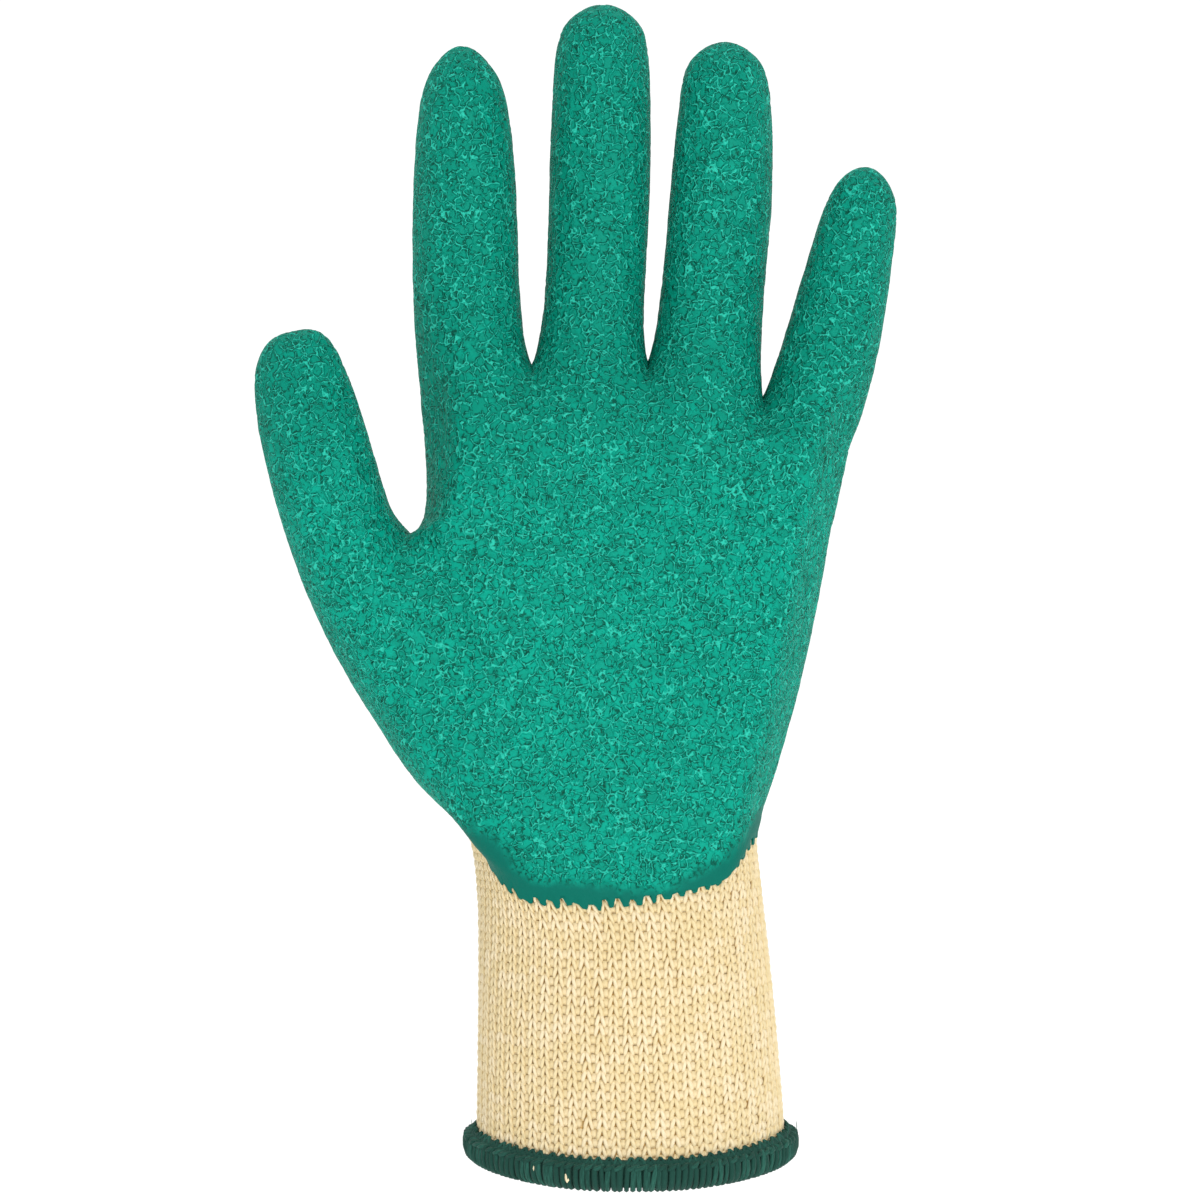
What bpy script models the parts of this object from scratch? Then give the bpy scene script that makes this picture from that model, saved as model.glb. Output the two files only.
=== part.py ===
"""A knitted work glove with a latex grip coating, for the left hand, in the shape it has when worn.

Metres. +Z points from the cuff's mouth to the fingertips, -Y is the palm side and +X the little finger's
side. The origin is the centre of the cuff's mouth, where the hand goes in.

The hand is one smooth surface. A net of sections, boxed out of a plate with four finger blocks and a thumb
block, is moved until its subdivision surface passes through every section point. The knitted liner is that
surface thickened inwards, and the coating is the coated part of it thickened outwards. The overlocked hem
is a U-shaped section swept along the liner's own lower edge.
"""

import math
from collections import namedtuple

import bmesh
import bpy
from mathutils import Matrix, Vector

# The knitted liner
KNIT_WALL = 0.0012
CUFF_WIDTH = 0.0633
CUFF_DEPTH = 0.0460
CUFF_LENGTH = 0.0664
PALM_LENGTH = 0.0925
PALM_DEPTH = 0.0310
HAND_SHIFT = 0.0022  # the knuckles' middle stands this far towards the little finger from the cuff's
WEB_FALL = 0.0045  # the web between two fingers drops this much from its middle to its front and back

# The latex coating
COAT_WALL = 0.0009
COAT_GAP = 0.0003

# The overlocked hem
HEM_HEIGHT = 0.0062
HEM_OUTER = 0.0030  # how far it stands out from the cuff's outer face
HEM_INNER = 0.0019  # how far it stands in from the cuff's inner face
HEM_BOTTOM = 0.0011  # its thickness below the liner's edge
HEM_GAP = 0.0003
HEM_TILT_DEG = 6.5  # the palm side of the hem hangs lower than the back
HEM_SAG = 0.0014  # front and back of the hem hang this much lower than its two sides

# How the net is laid out
COLUMNS = 8  # of the plate, two for each finger
SIDES = 2
LAYERS = ("column", "side", "row", "ring")  # where a point of the net belongs
FIT_ROUNDS = 12
ROUND_CORNER = math.sqrt(0.5)  # an eight-point ring's corners, on its ellipse
SIDE_INSET = 0.045  # of the palm's width, from its side point to the first point on its front

# A section of the cuff and palm. up: of the cuff's length, or 1 plus a share of the palm's length. left,
# right, front, back: of half the width or depth there. thumb: how much the thumb's root adds on the left.
# palm: 0 is the cuff's oval and 1 the palm's section. dip: how far the front hangs below the sides, of the
# cuff's length.
Row = namedtuple("Row", "up left thumb right front back palm dip profile")
ROWS = (
    Row(0.000, 1.02, 0.00, 1.03, 1.04, 1.04, 0.00, 0.00, "heel"),
    Row(0.120, 1.02, 0.00, 1.02, 1.03, 1.03, 0.00, 0.00, "heel"),
    Row(0.600, 1.01, 0.00, 0.93, 0.97, 0.96, 0.00, 0.08, "heel"),
    Row(1.000, 0.96, 0.01, 0.76, 0.95, 0.93, 0.25, 0.21, "heel"),
    Row(1.130, 0.93, 0.15, 0.73, 1.05, 0.98, 0.60, 0.05, "thenar"),
    Row(1.415, 0.87, -0.03, 0.80, 1.08, 1.00, 1.00, 0.00, "thenar"),
    Row(1.670, 0.91, 0.10, 0.90, 0.98, 0.95, 1.00, 0.00, "middle"),
    Row(1.735, 0.93, 0.00, 0.93, 0.96, 0.94, 1.00, 0.00, "middle"),
    Row(1.880, 0.93, 0.00, 0.98, 0.93, 0.92, 1.00, 0.00, "knuckle"),
)
COAT_ROW = 3  # the coating's lower edge runs along this row
THUMB_ROWS = (4, 5, 6)  # the thumb grows out of the palm's side between these

# How far each of the nine front points hangs below the sides, of the row's dip
DIP_PROFILE = (0.06, 0.46, 0.87, 0.97, 1.00, 0.97, 0.88, 0.70, 0.20)

# Depth of the nine front points across the hand, of the row's front depth
FRONT_PROFILES = {
    "heel": (0.66, 0.98, 1.08, 1.03, 0.94, 0.94, 0.99, 0.92, 0.58),
    "thenar": (0.98, 1.06, 1.04, 0.96, 0.89, 0.91, 0.97, 0.94, 0.60),
    "middle": (0.84, 1.02, 1.02, 0.95, 0.90, 0.92, 0.96, 0.94, 0.60),
    "knuckle": (0.60, 0.97, 0.96, 0.99, 0.93, 0.98, 0.93, 0.94, 0.56),
    "web": (0.58, 0.98, 0.70, 0.99, 0.70, 0.98, 0.66, 0.90, 0.52),
}
BACK_PROFILE = (0.58, 0.88, 0.98, 1.03, 1.05, 1.03, 0.97, 0.86, 0.54)
WEB_BACK_PROFILE = (0.58, 0.94, 0.78, 1.02, 0.80, 0.99, 0.76, 0.88, 0.52)
WEB_DEPTH = 0.86  # the plate that the fingers stand on, of the palm's depth

# A ring round a finger. along: of its length. wide, deep: of its width and depth. side, front: shift of the
# ring's middle across the hand, of its width, and towards the palm side, of its depth. tilt: degrees.
Ring = namedtuple("Ring", "along wide deep side front tilt")
# A finger. space: to the next finger. web: height of the web beyond it, above the plate. lean: towards the
# little finger, degrees. drop: of its root below the plate.
Finger = namedtuple("Finger", "name width depth length space web lean drop rings")
FINGERS = (
    Finger("index", 0.0196, 0.0196, 0.0714, 0.0056, 0.0055, -1.4, 0.0, (
        Ring(0.235, 1.04, 1.00, -0.02, 0.05, 0),
        Ring(0.560, 1.00, 0.98, -0.02, 0.24, 0),
        Ring(0.838, 0.82, 0.84, 0.00, 0.50, 0),
        Ring(0.950, 0.48, 0.50, 0.00, 0.62, 0),
        Ring(1.000, 0.0, 0.0, 0.00, 0.66, 0),
    )),
    Finger("middle", 0.0193, 0.0194, 0.0799, 0.0048, 0.0055, 2.0, 0.0, (
        Ring(0.212, 0.99, 1.00, 0.00, 0.05, 0),
        Ring(0.530, 0.98, 0.98, 0.02, 0.22, 0),
        Ring(0.847, 0.91, 0.88, 0.00, 0.50, 0),
        Ring(0.960, 0.65, 0.60, 0.00, 0.64, 0),
        Ring(1.000, 0.0, 0.0, 0.00, 0.68, 0),
    )),
    Finger("ring", 0.0202, 0.0194, 0.0722, 0.0028, 0.0000, 3.0, 0.0, (
        Ring(0.235, 0.98, 1.00, -0.01, 0.05, 0),
        Ring(0.570, 0.95, 0.98, 0.03, 0.23, 0),
        Ring(0.836, 0.84, 0.86, 0.02, 0.50, 0),
        Ring(0.950, 0.62, 0.56, 0.00, 0.63, 0),
        Ring(1.000, 0.0, 0.0, 0.00, 0.67, 0),
    )),
    Finger("little", 0.0184, 0.0180, 0.0530, 0.0, 0.0, 12.1, 0.0055, (
        Ring(0.360, 0.95, 0.98, 0.03, 0.11, 0),
        Ring(0.740, 0.78, 0.82, 0.03, 0.38, 0),
        Ring(0.920, 0.55, 0.54, 0.02, 0.56, 0),
        Ring(1.000, 0.0, 0.0, 0.00, 0.60, 0),
    )),
)
FINGER_TIP_RING = 3  # from here to the tip a finger is coated all round

THUMB = Finger("thumb", 0.0216, 0.0205, 0.0718, 0.0, 0.0, -22.3, 0.0, (
    Ring(0.130, 1.80, 1.50, -0.27, 0.10, 60.0),
    Ring(0.340, 1.19, 1.20, -0.36, 0.30, 36.0),
    Ring(0.660, 0.93, 0.94, -0.27, 0.51, -1.0),
    Ring(0.935, 0.68, 0.61, -0.11, 0.60, -12.0),
    Ring(1.000, 0.0, 0.0, 0.00, 0.62, 0),
))
THUMB_ROOT = (-0.92, 1.415)  # of half the palm's width, and up as in a Row

CREAM = (0.871, 0.745, 0.471, 1.0)
GREEN = (0.003, 0.361, 0.235, 1.0)
DARK_GREEN = (0.021, 0.117, 0.091, 1.0)


def clear_scene():
    for item in list(bpy.data.objects):
        bpy.data.objects.remove(item)


def new_material(name, colour, roughness):
    material = bpy.data.materials.new(name)
    material.use_nodes = True
    shader = material.node_tree.nodes["Principled BSDF"]
    shader.inputs["Base Color"].default_value = colour
    shader.inputs["Roughness"].default_value = roughness
    shader.inputs["Metallic"].default_value = 0.0
    material.diffuse_color = colour
    return material


def knuckle_width():
    return sum(finger.width + finger.space for finger in FINGERS)


def knuckle_left():
    return HAND_SHIFT - knuckle_width() / 2


def finger_middles():
    """X of each finger's middle where it stands on the palm."""
    found, left = [], knuckle_left()
    for finger in FINGERS:
        found.append(left + finger.width / 2)
        left += finger.width + finger.space
    return found


def web_places():
    """X of the three webs, each in the middle of the space between two fingers."""
    return [
        middle + (finger.width + finger.space) / 2
        for middle, finger in zip(finger_middles()[:-1], FINGERS)
    ]


def knuckle_shares():
    """Where the nine points of the palm's front stand, as shares of its width."""
    middles, webs = finger_middles(), web_places()
    places = [knuckle_left() + SIDE_INSET * knuckle_width()]
    for number, middle in enumerate(middles):
        places.append(middle)
        if number < len(webs):
            places.append(webs[number])
    places.append(knuckle_left() + (1 - SIDE_INSET) * knuckle_width())
    return [(place - knuckle_left()) / knuckle_width() for place in places]


def blend(first, second, share):
    return first + (second - first) * share


def height_of(up):
    """Height of a row: its cuff length, then its palm length."""
    return CUFF_LENGTH * min(up, 1.0) + PALM_LENGTH * max(up - 1.0, 0.0)


def oval_point(column):
    """The column's place on the cuff's oval: its share of the width, and of the depth."""
    angle = math.pi * (column + 1) / (COLUMNS + 2)
    return (1 - math.cos(angle)) / 2, math.sin(angle)


def hem_drop(x, y):
    """How far the hem hangs below the cuff's mouth at a place on it."""
    slope = math.tan(math.radians(HEM_TILT_DEG))
    return -y * slope + HEM_SAG * (min(abs(y) / (CUFF_DEPTH / 2), 1.0) ** 2)


def row_point(row, column, side):
    """A point of a section of the cuff or palm. side: 0 front, 1 the hand's edge, 2 back."""
    half_width = blend(CUFF_WIDTH, knuckle_width(), row.palm) / 2
    half_depth = blend(CUFF_DEPTH, PALM_DEPTH, row.palm) / 2
    left, right = -row.left * half_width, row.right * half_width
    height = height_of(row.up)
    if side < 2:
        left -= row.thumb * half_width
    if side == 1:
        return Vector((left if column == 0 else right, 0.0, height))
    oval_x, oval_y = oval_point(column)
    across = blend(oval_x, knuckle_shares()[column], row.palm)
    x = blend(left, right, across)
    if side == 0:
        deep = blend(oval_y, FRONT_PROFILES[row.profile][column], row.palm)
        fall = row.dip * CUFF_LENGTH * DIP_PROFILE[column]
        return Vector((x, -deep * row.front * half_depth, height - fall))
    deep = blend(oval_y, BACK_PROFILE[column], row.palm)
    return Vector((x, deep * row.back * half_depth, height))


def plate_point(column, side):
    """A point of the plate that the fingers stand on."""
    shares = knuckle_shares()
    share = shares[column]
    x = knuckle_left() + share * knuckle_width()
    top = height_of(2.0)
    fall = FINGERS[-1].drop * (max(share - 0.5, 0.0) * 2) ** 2
    web = column % 2 == 0 and 0 < column < COLUMNS
    depth = PALM_DEPTH / 2 * WEB_DEPTH
    rise = FINGERS[column // 2 - 1].web if web else 0.0
    if side == 1:
        if column in (0, COLUMNS):
            x = knuckle_left() + (knuckle_width() if column else 0.0)
        return Vector((x, 0.0, top - fall + rise))
    profile = FRONT_PROFILES["web"] if side == 0 else WEB_BACK_PROFILE
    y = profile[column] * depth * (-1 if side == 0 else 1)
    return Vector((x, y, top - fall + rise - (WEB_FALL if web else 0.0)))


def ring_point(finger, root, ring, u, v):
    """A point of a ring round a finger. u: -1 to 1 across it. v: -1 palm side, 1 back."""
    lean = math.radians(finger.lean)
    axis = Vector((math.sin(lean), 0.0, math.cos(lean)))
    across = Vector((math.cos(lean), 0.0, -math.sin(lean)))
    middle = root + axis * (ring.along * finger.length) + across * (ring.side * finger.width)
    middle.y -= ring.front * finger.depth
    turned = Matrix.Rotation(-math.radians(ring.tilt), 3, "Y") @ across
    corner = ROUND_CORNER if u and v else 1.0
    half_width, half_depth = ring.wide * finger.width / 2, ring.deep * finger.depth / 2
    return middle + turned * (u * corner * half_width) + Vector((0.0, v * corner * half_depth, 0.0))


def layers(net):
    return [net.verts.layers.int[name] for name in LAYERS]


def make_plate(net):
    """The plate that the fingers stand on: two columns of faces for each finger, two sides."""
    bmesh.ops.create_grid(net, x_segments=COLUMNS, y_segments=SIDES, size=1.0)
    column, side, row, _ = layers(net)
    for vert in net.verts:
        vert[column] = round((vert.co.x + 1) / 2 * COLUMNS)
        vert[side] = round((vert.co.y + 1) / 2 * SIDES)
        vert[row] = len(ROWS)
        vert.co = plate_point(vert[column], vert[side])


def drop_rows(net):
    """The palm and cuff: the plate's edge, drawn down section by section."""
    column, side, row, _ = layers(net)
    edges = [edge for edge in net.edges if edge.is_boundary]
    for number in reversed(range(len(ROWS))):
        made = bmesh.ops.extrude_edge_only(net, edges=edges)["geom"]
        edges = [item for item in made if isinstance(item, bmesh.types.BMEdge)]
        for vert in (item for item in made if isinstance(item, bmesh.types.BMVert)):
            vert[row] = number
            vert.co = row_point(ROWS[number], vert[column], vert[side])
            if number == 0:
                vert.co.z -= hem_drop(vert.co.x, vert.co.y)


def grow(net, faces, finger, root, local):
    """A finger or thumb, drawn out of a block of four faces ring by ring."""
    ring_layer = net.verts.layers.int["ring"]
    *rings, tip = finger.rings
    for number, ring in enumerate(rings, start=1):
        made = bmesh.ops.extrude_face_region(net, geom=faces)["geom"]
        bmesh.ops.delete(net, geom=faces, context="FACES")
        faces = [item for item in made if isinstance(item, bmesh.types.BMFace)]
        for vert in (item for item in made if isinstance(item, bmesh.types.BMVert)):
            vert[ring_layer] = number
            u, v = local(vert)
            section = tip if number == len(rings) and not (u or v) else ring
            vert.co = ring_point(finger, root, section, u, v)


def grow_fingers(net):
    column, side, row, ring = layers(net)
    for number, (finger, x) in enumerate(zip(FINGERS, finger_middles())):
        first = 2 * number
        block = [
            face for face in net.faces
            if all(vert[row] == len(ROWS) and vert[ring] == 0 for vert in face.verts)
            and all(first <= vert[column] <= first + 2 for vert in face.verts)
        ]
        root = Vector((x, 0.0, height_of(2.0) - finger.drop))
        grow(net, block, finger, root, lambda vert: (vert[column] - first - 1, vert[side] - 1))


def grow_thumb(net):
    column, side, row, ring = layers(net)
    low, middle, high = THUMB_ROWS
    block = [
        face for face in net.faces
        if all(vert[column] == 0 and low <= vert[row] <= high and not vert[ring] for vert in face.verts)
    ]
    root = Vector((THUMB_ROOT[0] * knuckle_width() / 2, 0.0, height_of(THUMB_ROOT[1])))
    grow(net, block, THUMB, root, lambda vert: (vert[row] - middle, vert[side] - 1))


def is_coated(face, net):
    """True on the palm side, the hand's edges, the fingertips and the thumb."""
    column, side, row, ring = layers(net)
    palm_side = any(vert[side] < 2 for vert in face.verts)
    if min(vert[row] for vert in face.verts) < COAT_ROW:
        return False
    on_tip = all(vert[ring] >= FINGER_TIP_RING for vert in face.verts)
    on_thumb = all(vert[column] == 0 and vert[row] in THUMB_ROWS for vert in face.verts)
    return palm_side or on_tip or on_thumb


def make_net():
    """The net of section points, as a mesh whose faces carry 1 where the glove is coated."""
    net = bmesh.new()
    for name in LAYERS:
        net.verts.layers.int.new(name)
    make_plate(net)
    drop_rows(net)
    grow_fingers(net)
    grow_thumb(net)
    bmesh.ops.recalc_face_normals(net, faces=net.faces[:])
    for face in net.faces:
        face.material_index = int(is_coated(face, net))
        face.smooth = True
    mesh = bpy.data.meshes.new("hand_net")
    net.to_mesh(mesh)
    net.free()
    return mesh


def evaluated_mesh(item):
    graph = bpy.context.evaluated_depsgraph_get()
    graph.update()
    return bpy.data.meshes.new_from_object(item.evaluated_get(graph))


def make_surface(collection):
    """The hand's outer surface in triangles: the net, fitted so that its smooth surface meets each point."""
    net = bpy.data.objects.new("hand_net", make_net())
    collection.objects.link(net)
    smooth = net.modifiers.new("smooth", "SUBSURF")
    smooth.levels = smooth.render_levels = 1
    targets = [vert.co.copy() for vert in net.data.vertices]
    for _ in range(FIT_ROUNDS):
        reached = evaluated_mesh(net)
        for vert, target, near in zip(net.data.vertices, targets, reached.vertices):
            vert.co += target - near.co
        net.data.update()
        bpy.data.meshes.remove(reached)
    split = net.modifiers.new("split", "TRIANGULATE")
    split.quad_method = "SHORTEST_DIAGONAL"
    surface = evaluated_mesh(net)
    bpy.data.objects.remove(net)
    return surface


def add_part(name, data, material, collection):
    part = bpy.data.objects.new(name, data)
    data.materials.clear()
    data.materials.append(material)
    collection.objects.link(part)
    return part


def thicken(part, thickness, offset):
    wall = part.modifiers.new("wall", "SOLIDIFY")
    wall.thickness = thickness
    wall.offset = offset
    wall.use_even_offset = True
    wall.use_rim = True
    return wall


def make_liner(surface, material, collection):
    mesh = surface.copy()
    mesh.name = "knit_liner"
    for face in mesh.polygons:
        face.material_index = 0
    thicken(add_part("knit_liner", mesh, material, collection), KNIT_WALL, -1.0)


def make_coating(surface, material, collection):
    """The coated part of the surface, lifted clear of the knit and thickened outwards."""
    sheet = bmesh.new()
    sheet.from_mesh(surface)
    sheet.normal_update()
    for vert, away in [(vert, vert.normal.copy()) for vert in sheet.verts]:
        vert.co += away * COAT_GAP
    bare = [face for face in sheet.faces if face.material_index == 0]
    bmesh.ops.delete(sheet, geom=bare, context="FACES")
    for face in sheet.faces:
        face.material_index = 0
    mesh = bpy.data.meshes.new("latex_coating")
    sheet.to_mesh(mesh)
    sheet.free()
    thicken(add_part("latex_coating", mesh, material, collection), COAT_WALL, 1.0)


def hem_route(surface):
    """The liner's lower edge, in order round the cuff."""
    edge = bmesh.new()
    edge.from_mesh(surface)
    rim = [vert for vert in edge.verts if vert.is_boundary]
    route = sorted((vert.co.copy() for vert in rim), key=lambda place: math.atan2(place.y, place.x))
    edge.free()
    return route


def hem_section():
    """The hem's U, round the liner's edge. x: outwards from the liner's outer face. y: up from its edge."""
    top = HEM_HEIGHT - HEM_GAP - HEM_BOTTOM
    bottom = -HEM_GAP - HEM_BOTTOM
    outer_slot, inner_slot = HEM_GAP, -KNIT_WALL - HEM_GAP
    return (
        (outer_slot, top), (HEM_OUTER, top * 0.6), (HEM_OUTER * 0.7, bottom),
        (-KNIT_WALL - HEM_INNER * 0.6, bottom), (-KNIT_WALL - HEM_INNER, top * 0.6), (inner_slot, top),
        (inner_slot, -HEM_GAP), (outer_slot, -HEM_GAP),
    )


def poly_curve(name, points, dimensions):
    curve = bpy.data.curves.new(name, "CURVE")
    curve.dimensions = dimensions
    spline = curve.splines.new("POLY")
    spline.points.add(len(points) - 1)
    for point, place in zip(spline.points, points):
        point.co = (*place, 1.0)
    spline.use_cyclic_u = True
    return curve


def make_hem(surface, material, collection, helpers):
    """The overlocked hem: its U swept once round the liner's edge."""
    section = [(x, y, 0.0) for x, y in hem_section()]
    profile = bpy.data.objects.new("hem_profile", poly_curve("hem_profile", section, "2D"))
    profile.hide_render = True
    profile.display_type = "WIRE"
    helpers.objects.link(profile)
    curve = poly_curve("hem", [tuple(place) for place in hem_route(surface)], "3D")
    curve.twist_mode = "Z_UP"
    curve.bevel_mode = "OBJECT"
    curve.bevel_object = profile
    add_part("overlock_hem", curve, material, collection)


def main():
    clear_scene()
    scene = bpy.context.scene
    glove = bpy.data.collections.new("grip_glove")
    helpers = bpy.data.collections.new("helpers")
    scene.collection.children.link(glove)
    scene.collection.children.link(helpers)
    surface = make_surface(helpers)
    make_liner(surface, new_material("knitted_cotton", CREAM, 0.9), glove)
    make_coating(surface, new_material("crinkled_latex", GREEN, 0.55), glove)
    make_hem(surface, new_material("overlock_thread", DARK_GREEN, 0.85), glove, helpers)


main()
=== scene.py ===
"""The looks of a knitted work glove with a crinkled latex grip coating and an overlocked hem.

Metres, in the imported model's frame: +Z points from the cuff's mouth to the fingertips, -Y is the palm side
and +X the little finger's side. The hand is one smooth surface with a knit map on it, counted in wales
round the hand and courses up it. The stitches, the coating's toothed edge and the hem all follow that map.
"""

import logging
import math
import random
from collections.abc import Callable, Iterable, Iterator, Sequence
from contextlib import contextmanager
from dataclasses import dataclass
from enum import Enum
from functools import partial
from typing import NamedTuple

import bmesh
import bpy
from bmesh.types import BMEdge, BMFace, BMLayerItem, BMVert, BMesh
from bpy.types import Material, Mesh, Node, NodeSocket, NodeTree, Object
from mathutils import Matrix, Vector, noise
from mathutils.bvhtree import BVHTree
from mathutils.geometry import barycentric_transform
from mathutils.kdtree import KDTree

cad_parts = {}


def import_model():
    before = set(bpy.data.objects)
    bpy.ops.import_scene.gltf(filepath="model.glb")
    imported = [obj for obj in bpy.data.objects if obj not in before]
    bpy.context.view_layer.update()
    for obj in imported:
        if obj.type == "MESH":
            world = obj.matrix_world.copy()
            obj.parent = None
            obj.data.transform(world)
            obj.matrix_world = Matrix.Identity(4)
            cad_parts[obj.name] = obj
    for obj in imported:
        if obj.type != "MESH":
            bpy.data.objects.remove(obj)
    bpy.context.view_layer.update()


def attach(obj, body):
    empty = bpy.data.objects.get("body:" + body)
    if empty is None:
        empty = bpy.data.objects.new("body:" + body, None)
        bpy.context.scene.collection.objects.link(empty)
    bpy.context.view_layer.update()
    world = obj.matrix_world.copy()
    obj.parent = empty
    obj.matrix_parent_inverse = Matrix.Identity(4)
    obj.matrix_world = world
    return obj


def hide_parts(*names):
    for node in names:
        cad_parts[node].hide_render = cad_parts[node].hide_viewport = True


LOG = logging.getLogger("grip_glove")
BODY = "root"
MM = 0.001

WALES = 58  # ribs of the knit round the whole cuff
WALE_WIDTH = 3.0 * MM
COURSE_HEIGHT = 1.8 * MM
YARN_STEP = 0.6  # of a yarn's map, from one section to the next


class Slot(Enum):
    """The material slots of the record."""

    KNIT = "knitted_cotton"
    LATEX = "crinkled_latex"
    THREAD = "overlock_thread"


class Zone(Enum):
    """What covers a face of the hand: bare knit, coating beside bare knit, or coating."""

    BARE = 0
    BORDER = 1
    COATED = 2


class Row(NamedTuple):
    """A section of the cuff or palm, in shares of its width and depth there."""

    up: float
    left: float
    thumb: float
    right: float
    front: float
    back: float
    palm: float
    dip: float
    profile: str


class Ring(NamedTuple):
    """A section of a finger, in shares of its length, width and depth, tilted by degrees."""

    along: float
    wide: float
    deep: float
    side: float
    front: float
    tilt: float


class Finger(NamedTuple):
    """A finger: its sizes in metres, its lean in degrees and its sections."""

    name: str
    width: float
    depth: float
    length: float
    space: float
    web: float
    lean: float
    drop: float
    rings: tuple[Ring, ...]


ROWS = (
    Row(0.000, 1.02, 0.00, 1.03, 1.04, 1.04, 0.00, 0.00, "heel"),
    Row(0.120, 1.02, 0.00, 1.02, 1.03, 1.03, 0.00, 0.00, "heel"),
    Row(0.600, 1.01, 0.00, 0.93, 0.97, 0.96, 0.00, 0.08, "heel"),
    Row(1.000, 0.96, 0.01, 0.76, 0.95, 0.93, 0.25, 0.21, "heel"),
    Row(1.130, 0.93, 0.15, 0.73, 1.05, 0.98, 0.60, 0.05, "thenar"),
    Row(1.415, 0.87, -0.03, 0.80, 1.08, 1.00, 1.00, 0.00, "thenar"),
    Row(1.670, 0.91, 0.10, 0.90, 0.98, 0.95, 1.00, 0.00, "middle"),
    Row(1.735, 0.93, 0.00, 0.93, 0.96, 0.94, 1.00, 0.00, "middle"),
    Row(1.880, 0.93, 0.00, 0.995, 0.93, 0.92, 1.00, 0.00, "knuckle"),
)
DIP_PROFILE = (0.06, 0.46, 0.87, 0.97, 1.00, 0.97, 0.88, 0.70, 0.20)
FRONT_PROFILES = {
    "heel": (0.66, 0.98, 1.08, 1.03, 0.94, 0.94, 0.99, 0.92, 0.58),
    "thenar": (0.98, 1.06, 1.04, 0.96, 0.89, 0.91, 0.97, 0.94, 0.60),
    "middle": (0.84, 1.02, 1.02, 0.95, 0.90, 0.92, 0.96, 0.94, 0.60),
    "knuckle": (0.60, 0.97, 0.96, 0.99, 0.93, 0.98, 0.93, 0.94, 0.56),
    "web": (0.58, 0.98, 0.70, 0.99, 0.70, 0.98, 0.66, 0.90, 0.52),
}
BACK_PROFILE = (0.58, 0.88, 0.98, 1.03, 1.05, 1.03, 0.97, 0.86, 0.54)
WEB_BACK_PROFILE = (0.58, 0.94, 0.78, 1.02, 0.80, 0.99, 0.76, 0.88, 0.52)
FINGERS = (
    Finger("index", 0.0196, 0.0196, 0.0714, 0.0056, 0.0055, -1.4, 0.0, (
        Ring(0.235, 1.04, 1.00, -0.02, 0.05, 0),
        Ring(0.560, 1.00, 0.98, -0.02, 0.24, 0),
        Ring(0.838, 0.82, 0.84, 0.00, 0.50, 0),
        Ring(0.950, 0.48, 0.50, 0.00, 0.62, 0),
        Ring(1.000, 0.0, 0.0, 0.00, 0.66, 0),
    )),
    Finger("middle", 0.0193, 0.0194, 0.0799, 0.0048, 0.0055, 2.0, 0.0, (
        Ring(0.212, 0.99, 1.00, 0.00, 0.05, 0),
        Ring(0.530, 0.98, 0.98, 0.02, 0.22, 0),
        Ring(0.847, 0.91, 0.88, 0.00, 0.50, 0),
        Ring(0.960, 0.65, 0.60, 0.00, 0.64, 0),
        Ring(1.000, 0.0, 0.0, 0.00, 0.68, 0),
    )),
    Finger("ring", 0.0202, 0.0194, 0.0722, 0.0028, 0.0000, 3.0, 0.0, (
        Ring(0.235, 0.98, 1.00, -0.01, 0.05, 0),
        Ring(0.570, 0.95, 0.98, 0.03, 0.23, 0),
        Ring(0.836, 0.84, 0.86, 0.02, 0.50, 0),
        Ring(0.950, 0.62, 0.56, 0.00, 0.63, 0),
        Ring(1.000, 0.0, 0.0, 0.00, 0.67, 0),
    )),
    Finger("little", 0.0184, 0.0180, 0.0530, 0.0, 0.0, 12.1, 0.0055, (
        Ring(0.360, 0.95, 0.98, 0.03, 0.11, 0),
        Ring(0.740, 0.78, 0.82, 0.03, 0.38, 0),
        Ring(0.920, 0.55, 0.54, 0.02, 0.56, 0),
        Ring(1.000, 0.0, 0.0, 0.00, 0.60, 0),
    )),
)
THUMB = Finger("thumb", 0.0216, 0.0205, 0.0718, 0.0, 0.0, -22.3, 0.0, (
    Ring(0.130, 1.80, 1.50, -0.27, 0.10, 60.0),
    Ring(0.340, 1.19, 1.20, -0.36, 0.30, 36.0),
    Ring(0.660, 0.93, 0.94, -0.27, 0.51, -1.0),
    Ring(0.935, 0.68, 0.61, -0.11, 0.60, -12.0),
    Ring(1.000, 0.0, 0.0, 0.00, 0.62, 0),
))


def smoothstep(low: float, high: float, value: float) -> float:
    """Gives the soft step from 0 at low to 1 at high."""
    share = min(max((value - low) / (high - low), 0.0), 1.0)
    return share * share * (3 - 2 * share)


def blend(first: float, second: float, share: float) -> float:
    """Gives the value that lies share of the way from first to second."""
    return first + (second - first) * share


def evaluated_mesh(item: Object) -> Mesh:
    """Gives a new mesh of the object with its modifiers applied."""
    graph = bpy.context.evaluated_depsgraph_get()
    graph.update()
    return bpy.data.meshes.new_from_object(item.evaluated_get(graph))


@contextmanager
def editing(mesh: Mesh) -> Iterator[BMesh]:
    """Opens a mesh for bmesh operators and writes it back at the end."""
    net = bmesh.new()
    net.from_mesh(mesh)
    yield net
    net.to_mesh(mesh)
    net.free()


def of_kind(made: Iterable[BMVert | BMEdge | BMFace], kind: type) -> list:
    """Gives the vertices, edges or faces among what an operator made."""
    return [item for item in made if isinstance(item, kind)]


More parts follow.
